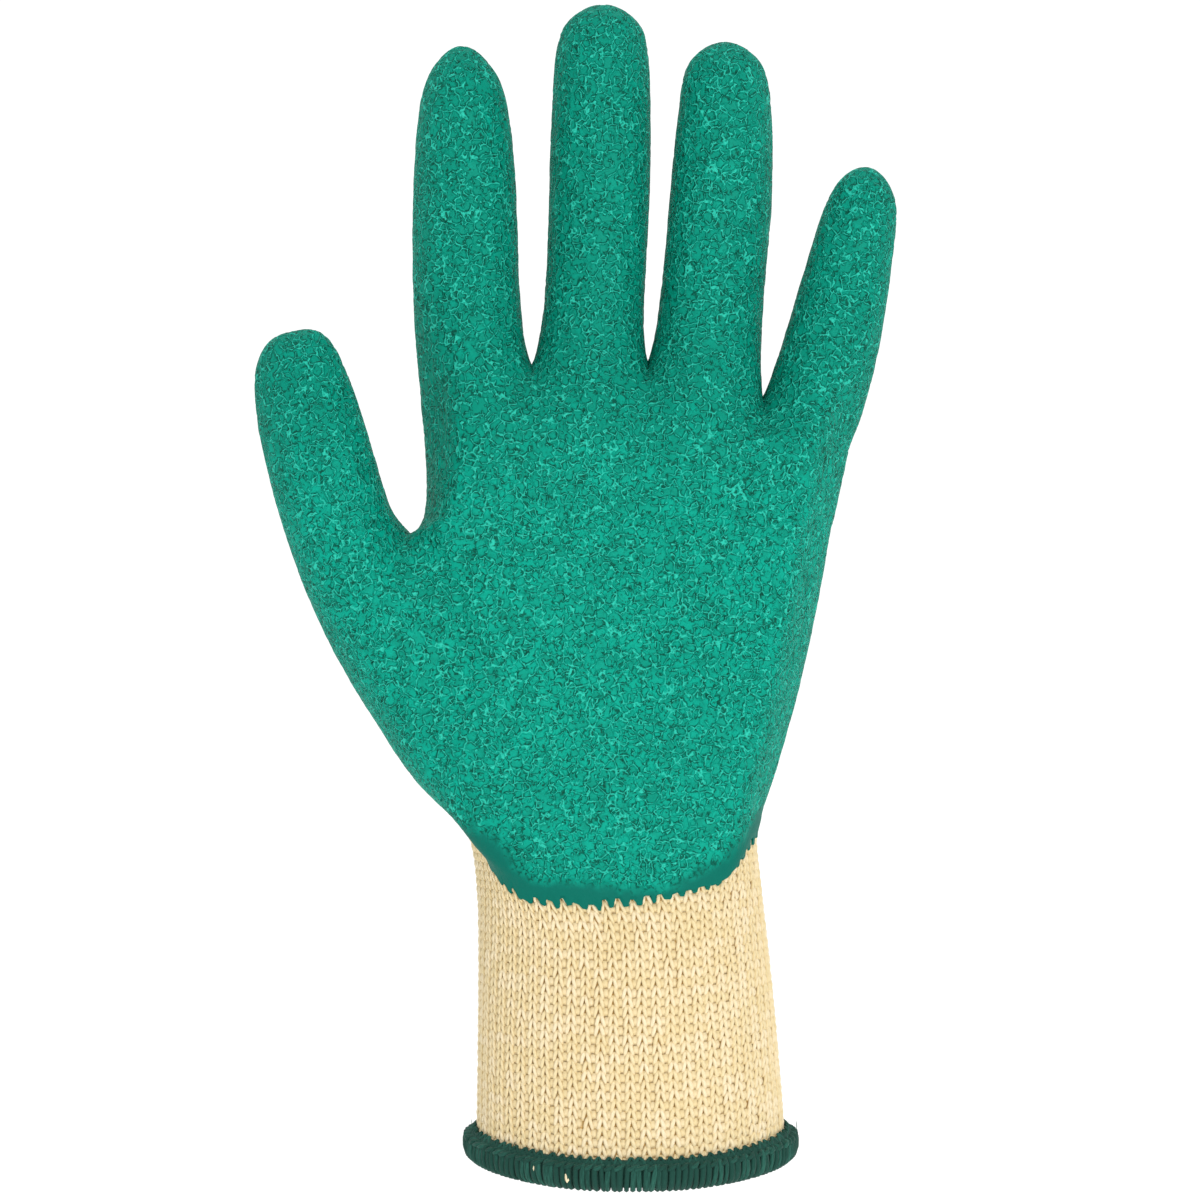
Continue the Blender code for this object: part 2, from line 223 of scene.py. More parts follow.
def put_in_order(net: BMesh, place: Callable[[BMVert], Sequence[float]]) -> None:
    """Puts a net's parts in an order that is the same in every run, which extrusions don't keep.

    Args:
        net: The net.
        place: Gives what tells a vertex from all others.
    """
    def corners(part: BMEdge | BMFace) -> list[int]:
        """Gives the numbers of a part's vertices."""
        return sorted(vert.index for vert in part.verts)

    for parts, key in ((net.verts, place), (net.edges, corners), (net.faces, corners)):
        ranks = {part: rank for rank, part in enumerate(sorted(parts, key=key))}
        parts.sort(key=ranks.__getitem__)
        parts.index_update()


def add_piece(name: str, mesh: Mesh) -> Object:
    """Links a new object with the mesh into the scene.

    Args:
        name: The piece's name, which its mesh takes too.
        mesh: The mesh, already in its place.

    Returns:
        The new object, at the origin.
    """
    mesh.name = name
    piece = bpy.data.objects.new(name, mesh)
    bpy.context.scene.collection.objects.link(piece)
    return piece


def finish_piece(
    piece: Object, node: str, material: Material
) -> Object:
    """Dresses a piece and ties it to the model.

    Args:
        piece: The finished object.
        node: The node of the model that the piece stands for.
        material: Its finish.

    Returns:
        The same object.
    """
    piece.data.materials.clear()
    piece.data.materials.append(material)
    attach(piece, BODY)
    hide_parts(node)
    triangles = sum(len(face.vertices) - 2 for face in piece.data.polygons)
    LOG.info("%s: %d triangles", piece.name, triangles)
    return piece


@dataclass
class HandForm:
    """The worn hand's outer surface: a net of section points whose subdivision surface meets each one."""

    cuff_width: float = 0.0633
    cuff_depth: float = 0.0460
    cuff_length: float = 0.0664
    palm_length: float = 0.0925
    palm_depth: float = 0.0310
    hand_shift: float = 0.0022
    web_fall: float = 0.0045
    web_depth: float = 0.86
    hem_tilt: float = math.radians(6.5)
    hem_sag: float = 0.0014
    side_inset: float = 0.045
    thumb_root: tuple[float, float] = (-0.92, 1.415)
    columns: int = 8
    coat_row: int = 3
    thumb_rows: tuple[int, int, int] = (4, 5, 6)
    tip_ring: int = 3
    fit_rounds: int = 10
    finger_wales: float = 2.3  # from the middle of a finger's back to where the coating starts
    root_wales: float = 3.4  # the same where the finger stands on the palm
    even_knit: tuple[float, float] = (0.138, 0.150)  # courses lie level below the first height
    side_step: float = 0.1  # how much nearer to its middle a finger's edge line runs than its root's
    layer_names: tuple[str, ...] = ("column", "side", "row", "ring", "finger")

    def __post_init__(self) -> None:
        """Builds the fitted net once."""
        self.net = self._fitted_net()

    def knuckle_width(self) -> float:
        """Gives the width across the four finger roots."""
        return sum(finger.width + finger.space for finger in FINGERS)

    def knuckle_left(self) -> float:
        """Gives x of the index finger's outer side at its root."""
        return self.hand_shift - self.knuckle_width() / 2

    def finger_middles(self) -> list[float]:
        """Gives x of each finger's middle where it stands on the palm."""
        found, left = [], self.knuckle_left()
        for finger in FINGERS:
            found.append(left + finger.width / 2)
            left += finger.width + finger.space
        return found

    def knuckle_shares(self) -> list[float]:
        """Gives the places of the palm's nine front points as shares of its width."""
        middles = self.finger_middles()
        webs = [x + (finger.width + finger.space) / 2 for x, finger in zip(middles[:-1], FINGERS)]
        places = [self.knuckle_left() + self.side_inset * self.knuckle_width()]
        for number, middle in enumerate(middles):
            places.append(middle)
            if number < len(webs):
                places.append(webs[number])
        places.append(self.knuckle_left() + (1 - self.side_inset) * self.knuckle_width())
        return [(place - self.knuckle_left()) / self.knuckle_width() for place in places]

    def height_of(self, up: float) -> float:
        """Gives the height of a row: its cuff length, then its palm length."""
        return self.cuff_length * min(up, 1.0) + self.palm_length * max(up - 1.0, 0.0)

    def hem_drop(self, x: float, y: float) -> float:
        """Gives how far the hem hangs below the cuff's mouth at a place on it."""
        return -y * math.tan(self.hem_tilt) + self.hem_sag * min(abs(y) / (self.cuff_depth / 2), 1.0) ** 2

    def row_point(self, row: Row, column: int, side: int) -> Vector:
        """Places a point of a section of the cuff or palm.

        Args:
            row: The section.
            column: 0 to 8 from the thumb's side.
            side: 0 on the front, 1 on the hand's edge, 2 on the back.

        Returns:
            The point.
        """
        half_width = blend(self.cuff_width, self.knuckle_width(), row.palm) / 2
        half_depth = blend(self.cuff_depth, self.palm_depth, row.palm) / 2
        left, right = -row.left * half_width, row.right * half_width
        height = self.height_of(row.up)
        if side < 2:
            left -= row.thumb * half_width
        if side == 1:
            return Vector((left if column == 0 else right, 0.0, height))
        angle = math.pi * (column + 1) / (self.columns + 2)
        across = blend((1 - math.cos(angle)) / 2, self.knuckle_shares()[column], row.palm)
        x = blend(left, right, across)
        if side == 0:
            deep = blend(math.sin(angle), FRONT_PROFILES[row.profile][column], row.palm)
            fall = row.dip * self.cuff_length * DIP_PROFILE[column]
            return Vector((x, -deep * row.front * half_depth, height - fall))
        deep = blend(math.sin(angle), BACK_PROFILE[column], row.palm)
        return Vector((x, deep * row.back * half_depth, height))

    def plate_point(self, column: int, side: int) -> Vector:
        """Places a point of the plate that the fingers stand on, by column and side."""
        share = self.knuckle_shares()[column]
        x = self.knuckle_left() + share * self.knuckle_width()
        fall = FINGERS[-1].drop * (max(share - 0.5, 0.0) * 2) ** 2
        web = column % 2 == 0 and 0 < column < self.columns
        height = self.height_of(2.0) - fall + (FINGERS[column // 2 - 1].web if web else 0.0)
        if side == 1:
            if column in (0, self.columns):
                x = self.knuckle_left() + (self.knuckle_width() if column else 0.0)
            return Vector((x, 0.0, height))
        profile = FRONT_PROFILES["web"] if side == 0 else WEB_BACK_PROFILE
        y = profile[column] * self.palm_depth / 2 * self.web_depth * (-1 if side == 0 else 1)
        return Vector((x, y, height - (self.web_fall if web else 0.0)))

    def ring_point(self, finger: Finger, root: Vector, ring: Ring, u: int, v: int) -> Vector:
        """Places a point of a ring round a finger.

        Args:
            finger: The finger.
            root: The middle of its root.
            ring: The section.
            u: -1 to 1 across the finger.
            v: -1 on the palm side to 1 on the back.

        Returns:
            The point.
        """
        lean = math.radians(finger.lean)
        axis = Vector((math.sin(lean), 0.0, math.cos(lean)))
        across = Vector((math.cos(lean), 0.0, -math.sin(lean)))
        middle = root + axis * (ring.along * finger.length) + across * (ring.side * finger.width)
        middle.y -= ring.front * finger.depth
        turned = Matrix.Rotation(-math.radians(ring.tilt), 3, "Y") @ across
        corner = math.sqrt(0.5) if u and v else 1.0
        half_width, half_depth = ring.wide * finger.width / 2, ring.deep * finger.depth / 2
        return middle + turned * (u * corner * half_width) + Vector((0.0, v * corner * half_depth, 0.0))

    def _grow(
        self,
        net: BMesh,
        faces: list[BMFace],
        finger: Finger,
        root: Vector,
        local: Callable[[BMVert], tuple[int, int]],
    ) -> None:
        """Draws a finger or thumb out of a block of four faces ring by ring.

        Args:
            net: The net.
            faces: The block.
            finger: The finger.
            root: The middle of its root.
            local: Gives a vertex's place across and through the finger.
        """
        layers = net.verts.layers.int
        *rings, tip = finger.rings
        for number, ring in enumerate(rings, start=1):
            made = bmesh.ops.extrude_face_region(net, geom=faces)["geom"]
            bmesh.ops.delete(net, geom=faces, context="FACES")
            faces = of_kind(made, BMFace)
            for vert in of_kind(made, BMVert):
                vert[layers["ring"]] = number
                vert[layers["finger"]] = (*FINGERS, THUMB).index(finger) + 1
                u, v = local(vert)
                section = tip if number == len(rings) and not (u or v) else ring
                vert.co = self.ring_point(finger, root, section, u, v)

    def _net(self) -> BMesh:
        """Builds the net of section points: a plate, its skirt down to the hem, four fingers and a thumb."""
        net = bmesh.new()
        for name in self.layer_names:
            net.verts.layers.int.new(name)
        bmesh.ops.create_grid(net, x_segments=self.columns, y_segments=2, size=1.0)
        column, side, row, ring, _ = (net.verts.layers.int[name] for name in self.layer_names)
        for vert in net.verts:
            vert[column] = round((vert.co.x + 1) / 2 * self.columns)
            vert[side] = round(vert.co.y + 1)
            vert[row] = len(ROWS)
            vert.co = self.plate_point(vert[column], vert[side])
        edges = [edge for edge in net.edges if edge.is_boundary]
        for number in reversed(range(len(ROWS))):
            made = bmesh.ops.extrude_edge_only(net, edges=edges)["geom"]
            edges = of_kind(made, BMEdge)
            for vert in of_kind(made, BMVert):
                vert[row] = number
                vert.co = self.row_point(ROWS[number], vert[column], vert[side])
                if number == 0:
                    vert.co.z -= self.hem_drop(vert.co.x, vert.co.y)
        for number, (finger, x) in enumerate(zip(FINGERS, self.finger_middles())):
            first = 2 * number
            block = [
                face for face in net.faces
                if all(vert[row] == len(ROWS) and not vert[ring] for vert in face.verts)
                and all(first <= vert[column] <= first + 2 for vert in face.verts)
            ]
            root = Vector((x, 0.0, self.height_of(2.0) - finger.drop))
            self._grow(net, block, finger, root, lambda vert: (vert[column] - first - 1, vert[side] - 1))
        low, middle, high = self.thumb_rows
        block = [
            face for face in net.faces
            if all(vert[column] == 0 and low <= vert[row] <= high and not vert[ring] for vert in face.verts)
        ]
        root = Vector((self.thumb_root[0] * self.knuckle_width() / 2, 0.0, self.height_of(self.thumb_root[1])))
        self._grow(net, block, THUMB, root, lambda vert: (vert[row] - middle, vert[side] - 1))
        bmesh.ops.recalc_face_normals(net, faces=net.faces[:])
        layers = [net.verts.layers.int[name] for name in self.layer_names]
        put_in_order(net, lambda vert: [vert[layer] for layer in layers])
        return net

    def _ring_order(self) -> list[tuple[int, int]]:
        """Gives column and side of the twenty points round the palm, from the little finger's edge."""
        back = [(column, 2) for column in reversed(range(self.columns + 1))]
        front = [(column, 0) for column in range(self.columns + 1)]
        return [(self.columns, 1), *back, (0, 1), *front]

    def _row_wales(self) -> list[dict[tuple[int, int], float]]:
        """Counts the wales from the little finger's edge to each point of each row, by length round it."""
        order, counted = self._ring_order(), []
        for number in range(len(ROWS) + 1):
            place = (lambda spot: self.plate_point(*spot)) if number == len(ROWS) else (
                lambda spot: self.row_point(ROWS[number]._replace(thumb=0.0), *spot)
            )
            points = [place(spot) for spot in (*order, order[0])]
            steps = [(after - before).length for before, after in zip(points, points[1:])]
            walked, wales = 0.0, {}
            for spot, step in zip(order, steps):
                wales[spot] = walked / sum(steps) * WALES
                walked += step
            counted.append(wales)
        return counted

    def _knit_map(self, net: BMesh) -> None:
        """Writes wale and course of every corner into the net's UV map."""
        column, side, row, ring, finger = (net.verts.layers.int[name] for name in self.layer_names)
        knit = net.loops.layers.uv.new("knit")
        wales = self._row_wales()
        middles = [wales[-1][(2 * number + 1, 2)] for number in range(len(FINGERS))]
        for face in net.faces:
            on_back = any(vert[side] == 2 for vert in face.verts)
            for loop in face.loops:
                vert = loop.vert
                if vert[ring] and vert[finger] <= len(FINGERS):
                    own = FINGERS[vert[finger] - 1]
                    across = vert[column] - 2 * (vert[finger] - 1) - 1
                    spread = self.finger_wales if vert[side] == 2 else self.root_wales - self.side_step
                    length = own.rings[min(vert[ring], len(own.rings)) - 1].along * own.length
                    height = self.height_of(2.0) - own.drop + length
                    wale = middles[vert[finger] - 1] - across * spread
                else:
                    spot = (vert[column], vert[side] if vert[side] != 1 or vert[column] in (0, 8) else 2)
                    wale = wales[vert[row]][spot]
                    if spot == (self.columns, 1) and not on_back:
                        wale = WALES
                    height = vert.co.z + self.hem_drop(*vert.co.xy) * max(1 - vert.co.z / self.cuff_length, 0.0)
                loop[knit].uv = (wale, height / COURSE_HEIGHT)

    def _zone(self, face: BMFace, net: BMesh) -> Zone:
        """Tells whether a face of the net is bare knit or coated."""
        column, side, row, ring, _ = (net.verts.layers.int[name] for name in self.layer_names)
        if min(vert[row] for vert in face.verts) < self.coat_row:
            return Zone.BARE
        palm_side = any(vert[side] < 2 for vert in face.verts)
        on_tip = all(vert[ring] >= self.tip_ring for vert in face.verts)
        on_thumb = all(vert[column] == 0 and vert[row] in self.thumb_rows for vert in face.verts)
        return Zone.COATED if palm_side or on_tip or on_thumb else Zone.BARE

    def _fitted_net(self) -> Object:
        """Moves the net until its subdivision surface passes through every section point."""
        net = self._net()
        _, side, row, _, finger = (net.verts.layers.int[name] for name in self.layer_names)
        self._knit_map(net)
        zones = {face: self._zone(face, net) for face in net.faces}
        for face in net.faces:
            zone = zones[face]
            beside = any(zones[other] is Zone.BARE for vert in face.verts for other in vert.link_faces)
            on_thumb = any(vert[finger] == len(FINGERS) + 1 for vert in face.verts)
            on_front = any(vert[side] == 0 and vert[row] > self.coat_row + 1 for vert in face.verts)
            if zone is Zone.COATED and beside and not on_thumb and not on_front:
                zone = Zone.BORDER
            face.material_index = zone.value
            face.smooth = True
        mesh = bpy.data.meshes.new("hand_net")
        net.to_mesh(mesh)
        net.free()
        # The subdivision numbers its points along each edge, so the edges' directions are settled too.
        for edge in mesh.edges:
            edge.vertices = sorted(edge.vertices)
        item = add_piece("hand_net", mesh)
        smooth = item.modifiers.new("smooth", "SUBSURF")
        smooth.levels = smooth.render_levels = 1
        targets = [vert.co.copy() for vert in mesh.vertices]
        for _ in range(self.fit_rounds):
            reached = evaluated_mesh(item)
            for vert, target, near in zip(mesh.vertices, targets, reached.vertices):
                vert.co += target - near.co
            mesh.update()
            bpy.data.meshes.remove(reached)
        return item

    def surface(self, levels: int) -> Mesh:
        """Gives the hand's surface, subdivided that many times."""
        smooth = self.net.modifiers["smooth"]
        smooth.levels = smooth.render_levels = levels
        mesh = evaluated_mesh(self.net)
        knit = mesh.uv_layers["knit"].data
        for loop in mesh.loops:
            place = mesh.vertices[loop.vertex_index].co
            share = smoothstep(self.even_knit[1], self.even_knit[0], place.z)
            if share:
                height = place.z + self.hem_drop(*place.xy) * max(1 - place.z / self.cuff_length, 0.0)
                knit[loop.index].uv.y = blend(knit[loop.index].uv.y, height / COURSE_HEIGHT, share)
        return mesh

    def clear(self) -> None:
        """Removes the net from the scene."""
        bpy.data.objects.remove(self.net)


class KnitMap:
    """Finds places on the hand by wale and course."""

    probes = ((0.0, 0.0), (-0.4, 0.0), (0.4, 0.0), (0.0, -0.45), (0.0, 0.45))
    reach = 0.8  # no part of a stitch lies further outside the map
    inside = 0.02  # up to here a place counts as in the bare part
    low_course = 40.0  # below it the stitches go on under the coating's edge
    span = 4.2 * MM  # no point of a stitch is further from its middle, so none bridges two fingers

    def __init__(self, form: HandForm, levels: int = 3) -> None:
        """Flattens the bare surface and the coating's border into wales and courses.

        Args:
            form: The hand.
            levels: How finely its surface is subdivided.
        """
        mesh = form.surface(levels)
        mesh.calc_loop_triangles()
        uvs = mesh.uv_layers["knit"].data
        zones = [mesh.polygons[triangle.polygon_index].material_index for triangle in mesh.loop_triangles]
        self.places, self.normals, self.flat = [], [], []
        for zone in (Zone.BARE, Zone.BORDER):
            for triangle, own in zip(mesh.loop_triangles, zones):
                if own == zone.value:
                    self.places.append([mesh.vertices[index].co.copy() for index in triangle.vertices])
                    self.normals.append([mesh.vertices[index].normal.copy() for index in triangle.vertices])
                    self.flat.append([Vector((*uvs[loop].uv, 0.0)) for loop in triangle.loops])
        self.bare = zones.count(Zone.BARE.value)
        self.trees = [self._tree(self.flat[:self.bare]), self._tree(self.flat)]
        bpy.data.meshes.remove(mesh)

    @staticmethod
    def _tree(flat: Sequence[Sequence[Vector]]) -> BVHTree:
        """Gives a search tree of flattened triangles."""
        corners = [corner for triangle in flat for corner in triangle]
        return BVHTree.FromPolygons(corners, [(first, first + 1, first + 2) for first in range(0, len(corners), 3)])

    def _find(self, wale: float, course: float) -> tuple[Vector, int, float]:
        """Finds a place in the flattened knit, in the bare part first where the parts overlap.

        Args:
            wale: Wales from the little finger's edge.
            course: Courses up from the hem.

        Returns:
            The nearest flattened point, the number of its triangle and how far away it is.
        """
        for tree in self.trees:
            spot, _, index, away = tree.find_nearest(Vector((wale % WALES, course, 0.0)))
            if away < self.inside:
                break
        return spot, index, away

    def at(self, wale: float, course: float, height: float) -> Vector:
        """Places a point of the knit.

        Args:
            wale: Wales from the little finger's edge.
            course: Courses up from the hem.
            height: How far it stands out from the hand's surface.

        Returns:
            The point in space.
        """
        spot, index, _ = self._find(wale, course)
        place = barycentric_transform(spot, *self.flat[index], *self.places[index])
        normal = barycentric_transform(spot, *self.flat[index], *self.normals[index])
        return place + normal.normalized() * height

    def near(self, middle: tuple[float, float], wale: float, course: float, height: float) -> Vector:
        """Places a point of a stitch, drawn in towards the stitch's middle where it would leave the finger.

        Args:
            middle: Wale and course of the stitch's middle.
            wale: Wale of the point.
            course: Course of the point.
            height: How far it stands out from the hand's surface.

        Returns:
            The point in space.
        """
        centre = self.at(*middle, height)
        for share in (1.0, 0.7, 0.4):
            place = self.at(blend(middle[0], wale, share), blend(middle[1], course, share), height)
            if (place - centre).length < self.span:
                return place
        return centre

    def takes_stitch(self, wale: float, course: float) -> bool:
        """Tells whether a stitch there shows."""
        found = [self._find(wale + across, course + along) for across, along in self.probes]
        if any(away > self.reach for _, _, away in found):
            return False
        return course < self.low_course or any(index < self.bare for _, index, _ in found)


def linear(value: str) -> tuple[float, float, float, float]:
    """Turns an sRGB hex colour into the linear one that shaders take."""
    parts = [int(value[start:start + 2], 16) / 255 for start in (1, 3, 5)]
    return (*(part / 12.92 if part <= 0.04045 else ((part + 0.055) / 1.055) ** 2.4 for part in parts), 1.0)


def add_node(tree: NodeTree, kind: str, inputs: dict | None = None, **settings: str) -> Node:
    """Adds a node with its settings and links.

    Args:
        tree: The nodes that it joins.
        kind: The node's type, without the ShaderNode that each begins with.
        inputs: By name or number a value, an output, or a node whose first output in use is meant.
        **settings: Values of its own properties.

    Returns:
        The new node.
    """
    node = tree.nodes.new(f"ShaderNode{kind}")
    for name, value in settings.items():
        setattr(node, name, value)
    for name, value in (inputs or {}).items():
        if isinstance(value, Node):
            value = next(output for output in value.outputs if output.enabled)
        if isinstance(value, NodeSocket):
            tree.links.new(value, node.inputs[name])
        else:
            node.inputs[name].default_value = value
    return node


def new_material(name: str) -> tuple[Material, Callable[..., Node]]:
    """Makes a material with no nodes, and gives it with what adds a node to it."""
    material = bpy.data.materials.new(name)
    material.use_nodes = True
    material.node_tree.nodes.clear()
    return material, partial(add_node, material.node_tree)


def set_ramp(node: Node, *stops: tuple[float, str]) -> Node:
    """Gives a colour ramp its two stops, each a place and a hex colour, and gives the ramp."""
    for element, (place, colour) in zip(node.color_ramp.elements, stops):
        element.position = place
        element.color = linear(colour)
    return node


@dataclass(frozen=True)
class CrinkledLatex:
    """Natural rubber latex, dipped and crinkled in an acid bath.

    The eye gets an even, satin green, broken by fine lighter ridges that branch and by small dark pits between
    them;
    the ridges' lightness is partly a painted highlight, the pits and the ridges' feet carry painted shadow, and the
    tone takes a painted shade towards the fingers.
    between them. Along the coating's lower edge the latex lies flat, and is duller and darker.
    """

    body: str = "#009A83"
    # The darker end of the mottle's random tone, which the painted shade on the fingers also leans towards.
    shade: str = "#008570"
    # The ridges' colour: partly the lighter, thinner latex of a ridge, partly a painted highlight on it.
    ridge: str = "#2CBEA6"
    # Painted shadow: the colour of the shade in the pits and at the feet of the ridges.
    pit_shadow_colour: str = "#004A3B"
    flat: str = "#006658"
    nets: tuple[tuple[float, float, float], ...] = (
        (2.1 * MM, 0.46 * MM, 0.0),
        (1.7 * MM, 0.42 * MM, 0.37),
    )  # of each net of ridges: the space between two, half a ridge's foot and where its pattern starts
    winding: float = 1.5 * MM
    run: float = 4.0 * MM  # how far a ridge runs before it ends in the other net
    pit_size: float = 0.55 * MM
    mottle_size: float = 3.5 * MM
    fingers: tuple[float, float] = (0.130, 0.165)  # heights between which the tone gets darker towards the fingers: a painted shade
    painted_finger_shade: float = 0.18
    ridge_height: float = 0.38 * MM
    pit_depth: float = 0.35  # of the ridges' height
    rubber_ior: float = 1.52
    roughness: float = 0.58
    gloss: float = 0.08

    def _ridges(
        self, add: Callable[..., Node], place: NodeSocket, net: tuple[float, float, float]
    ) -> Node:
        """Builds one net of broken, winding ridges.

        Args:
            add: Adds a node to the material.
            place: The place on the latex.
            net: Space between ridges, half a ridge's foot and where the pattern starts.

        Returns:
            The height, 1 on a ridge and 0 between the ridges.
        """
        size, foot, seed = net
        start = add("VectorMath", {0: place, 1: (seed,) * 3}, operation="ADD")
        bend = add("TexNoise", {"Vector": start, "Scale": 1 / self.winding, "Detail": 1.0, "Roughness": 0.5})
        bent = add("VectorMath", {
            0: bend.outputs["Color"], 1: (0.95 * self.winding,) * 3, 2: start,
        }, operation="MULTIPLY_ADD")
        cells = add("TexVoronoi", {
            "Vector": bent, "Scale": 1 / size, "Randomness": 0.9,
        }, feature="DISTANCE_TO_EDGE")
        slope = add("MapRange", {"Value": cells, "From Max": foot / size, "To Min": 1.0, "To Max": 0.0})
        gaps = add("TexNoise", {"Vector": start, "Scale": 1.1 / size, "Detail": 1.0})
        kept = add("MapRange", {
            "Value": gaps, "From Min": 0.34, "From Max": 0.44,
        }, interpolation_type="SMOOTHSTEP")
        return add("Math", {0: slope, 1: kept}, operation="MULTIPLY")

    def material(self) -> Material:
        """Builds the nodes of the latex."""
        material, add = new_material("crinkled_latex")
        step = partial(add, interpolation_type="SMOOTHSTEP")
        place = add("TexCoord").outputs["Object"]
        crinkled = add("Attribute", attribute_name="crinkled").outputs["Fac"]
        turns = add("TexNoise", {"Vector": place, "Scale": 1 / self.run, "Detail": 1.0, "Roughness": 0.5})
        turn = step("MapRange", {"Value": turns, "From Min": 0.48, "From Max": 0.52})
        first, second = (self._ridges(add, place, net) for net in self.nets)
        relief = add("Mix", {0: turn, 2: first, 3: second}, data_type="FLOAT")
        relief = add("Math", {0: relief, 1: crinkled}, operation="MULTIPLY")
        # Painted highlight: the crests of the ridges are lightened in the colour.
        ridge_highlight = step("MapRange", {"Value": relief, "From Min": 0.68, "From Max": 0.97, "To Max": 0.90})
        # Painted shadow at the feet of the ridges, broken up by the dimple noise below.
        foot = step("MapRange", {"Value": relief, "From Max": 0.45, "To Max": 0.85})
        dimple = add("TexNoise", {
            "Vector": place, "Scale": 0.6 / self.pit_size, "Detail": 2.0, "Roughness": 0.6, "Distortion": 0.6,
        })
        shaded = step("MapRange", {"Value": dimple, "From Min": 0.56, "From Max": 0.42})
        foot = add("Math", {0: foot, 1: shaded}, operation="MULTIPLY")
        # Painted shadow in the pits, where the latex is crinkled.
        pits = step("MapRange", {"Value": dimple, "From Min": 0.44, "From Max": 0.30})
        pit_shadow = add("Math", {0: pits, 1: crinkled}, operation="MULTIPLY")
        # Both painted shadows in one mask.
        dark = add("Math", {0: foot, 1: pit_shadow}, operation="MAXIMUM")
        mottle = add("TexNoise", {
            "Vector": place, "Scale": 1 / self.mottle_size, "Detail": 4.0, "Roughness": 0.6,
        })
        # Painted shade: the tone darkens from the palm up into the fingers.
        fingers = step("MapRange", {
            "Value": add("SeparateXYZ", {"Vector": place}).outputs["Z"], "From Min": self.fingers[0],
            "From Max": self.fingers[1], "To Max": -self.painted_finger_shade,
        })
        tone = add("ValToRGB", {"Fac": add("Math", {0: mottle, 1: fingers}, operation="ADD")})
        colour = set_ramp(tone, (0.35, self.shade), (0.60, self.body))
        for share, low, high in (
            (crinkled, linear(self.flat), None), (dark, None, linear(self.pit_shadow_colour)), (ridge_highlight, None, linear(self.ridge)),
        ):
            colour = add("Mix", {"Factor": share, 6: low or colour, 7: high or colour}, data_type="RGBA")
        height = add("Math", {0: dimple, 1: self.pit_depth, 2: relief}, operation="MULTIPLY_ADD")
        bump = add("Bump", {"Height": height, "Distance": self.ridge_height, "Strength": 1.0})
        add("OutputMaterial", {"Surface": add("BsdfPrincipled", {
            "Base Color": colour, "Roughness": self.roughness, "IOR": self.rubber_ior,
            "Specular IOR Level": self.gloss, "Normal": bump,
        })})
        return material


@dataclass(frozen=True)
class KnittedCotton:
    """Undyed cotton and polyester yarn in a coarse knit.

    The eye gets warm cream yarns with a matt, slightly fuzzy face and fine twisted plies, each stitch a
    little lighter or darker than the next, and yarn lying deep in the knit painted in shade.
    """

    light: str = "#ECDEC0"
    body: str = "#E1CFA3"
    shadow: str = "#D5BB84"
    fuzz_size: float = 0.25 * MM
    ply_depth: float = 0.08 * MM

    def material(self) -> Material:
        """Builds the nodes of the stitches' yarn."""
        material, add = new_material("knitted_cotton_yarn")
        split = add("SeparateXYZ", {"Vector": add("UVMap", uv_map="yarn")})
        tone, depth = (add("Attribute", attribute_name=name).outputs["Fac"] for name in ("tone", "depth"))
        turned = add("Math", {0: split.outputs["X"], 1: split.outputs["Y"]}, operation="ADD")
        twist = add("Math", {0: turned, 1: 0.25}, operation="PINGPONG")
        fuzz = add("TexNoise", {
            "Vector": add("TexCoord").outputs["Object"], "Scale": 1 / self.fuzz_size, "Detail": 3.0,
        })
        mix = add("Math", {0: fuzz, 1: 0.5, 2: tone}, operation="MULTIPLY_ADD")
        lit = set_ramp(add("ValToRGB", {"Fac": mix}), (0.35, self.body), (0.95, self.light))
        # Painted shade: yarn lying deeper in the knit takes the shadow colour, by its depth attribute.
        colour = add("Mix", {"Factor": depth, 6: linear(self.shadow), 7: lit}, data_type="RGBA")
        height = add("Math", {0: twist, 1: 2.0, 2: fuzz}, operation="MULTIPLY_ADD")
        bump = add("Bump", {"Height": height, "Distance": self.ply_depth, "Strength": 0.8})
        add("OutputMaterial", {"Surface": add("BsdfPrincipled", {
            "Base Color": colour, "Roughness": 0.9, "IOR": 1.5, "Specular IOR Level": 0.3,
            "Sheen Weight": 0.15, "Sheen Roughness": 0.5, "Normal": bump,
        })})
        return material


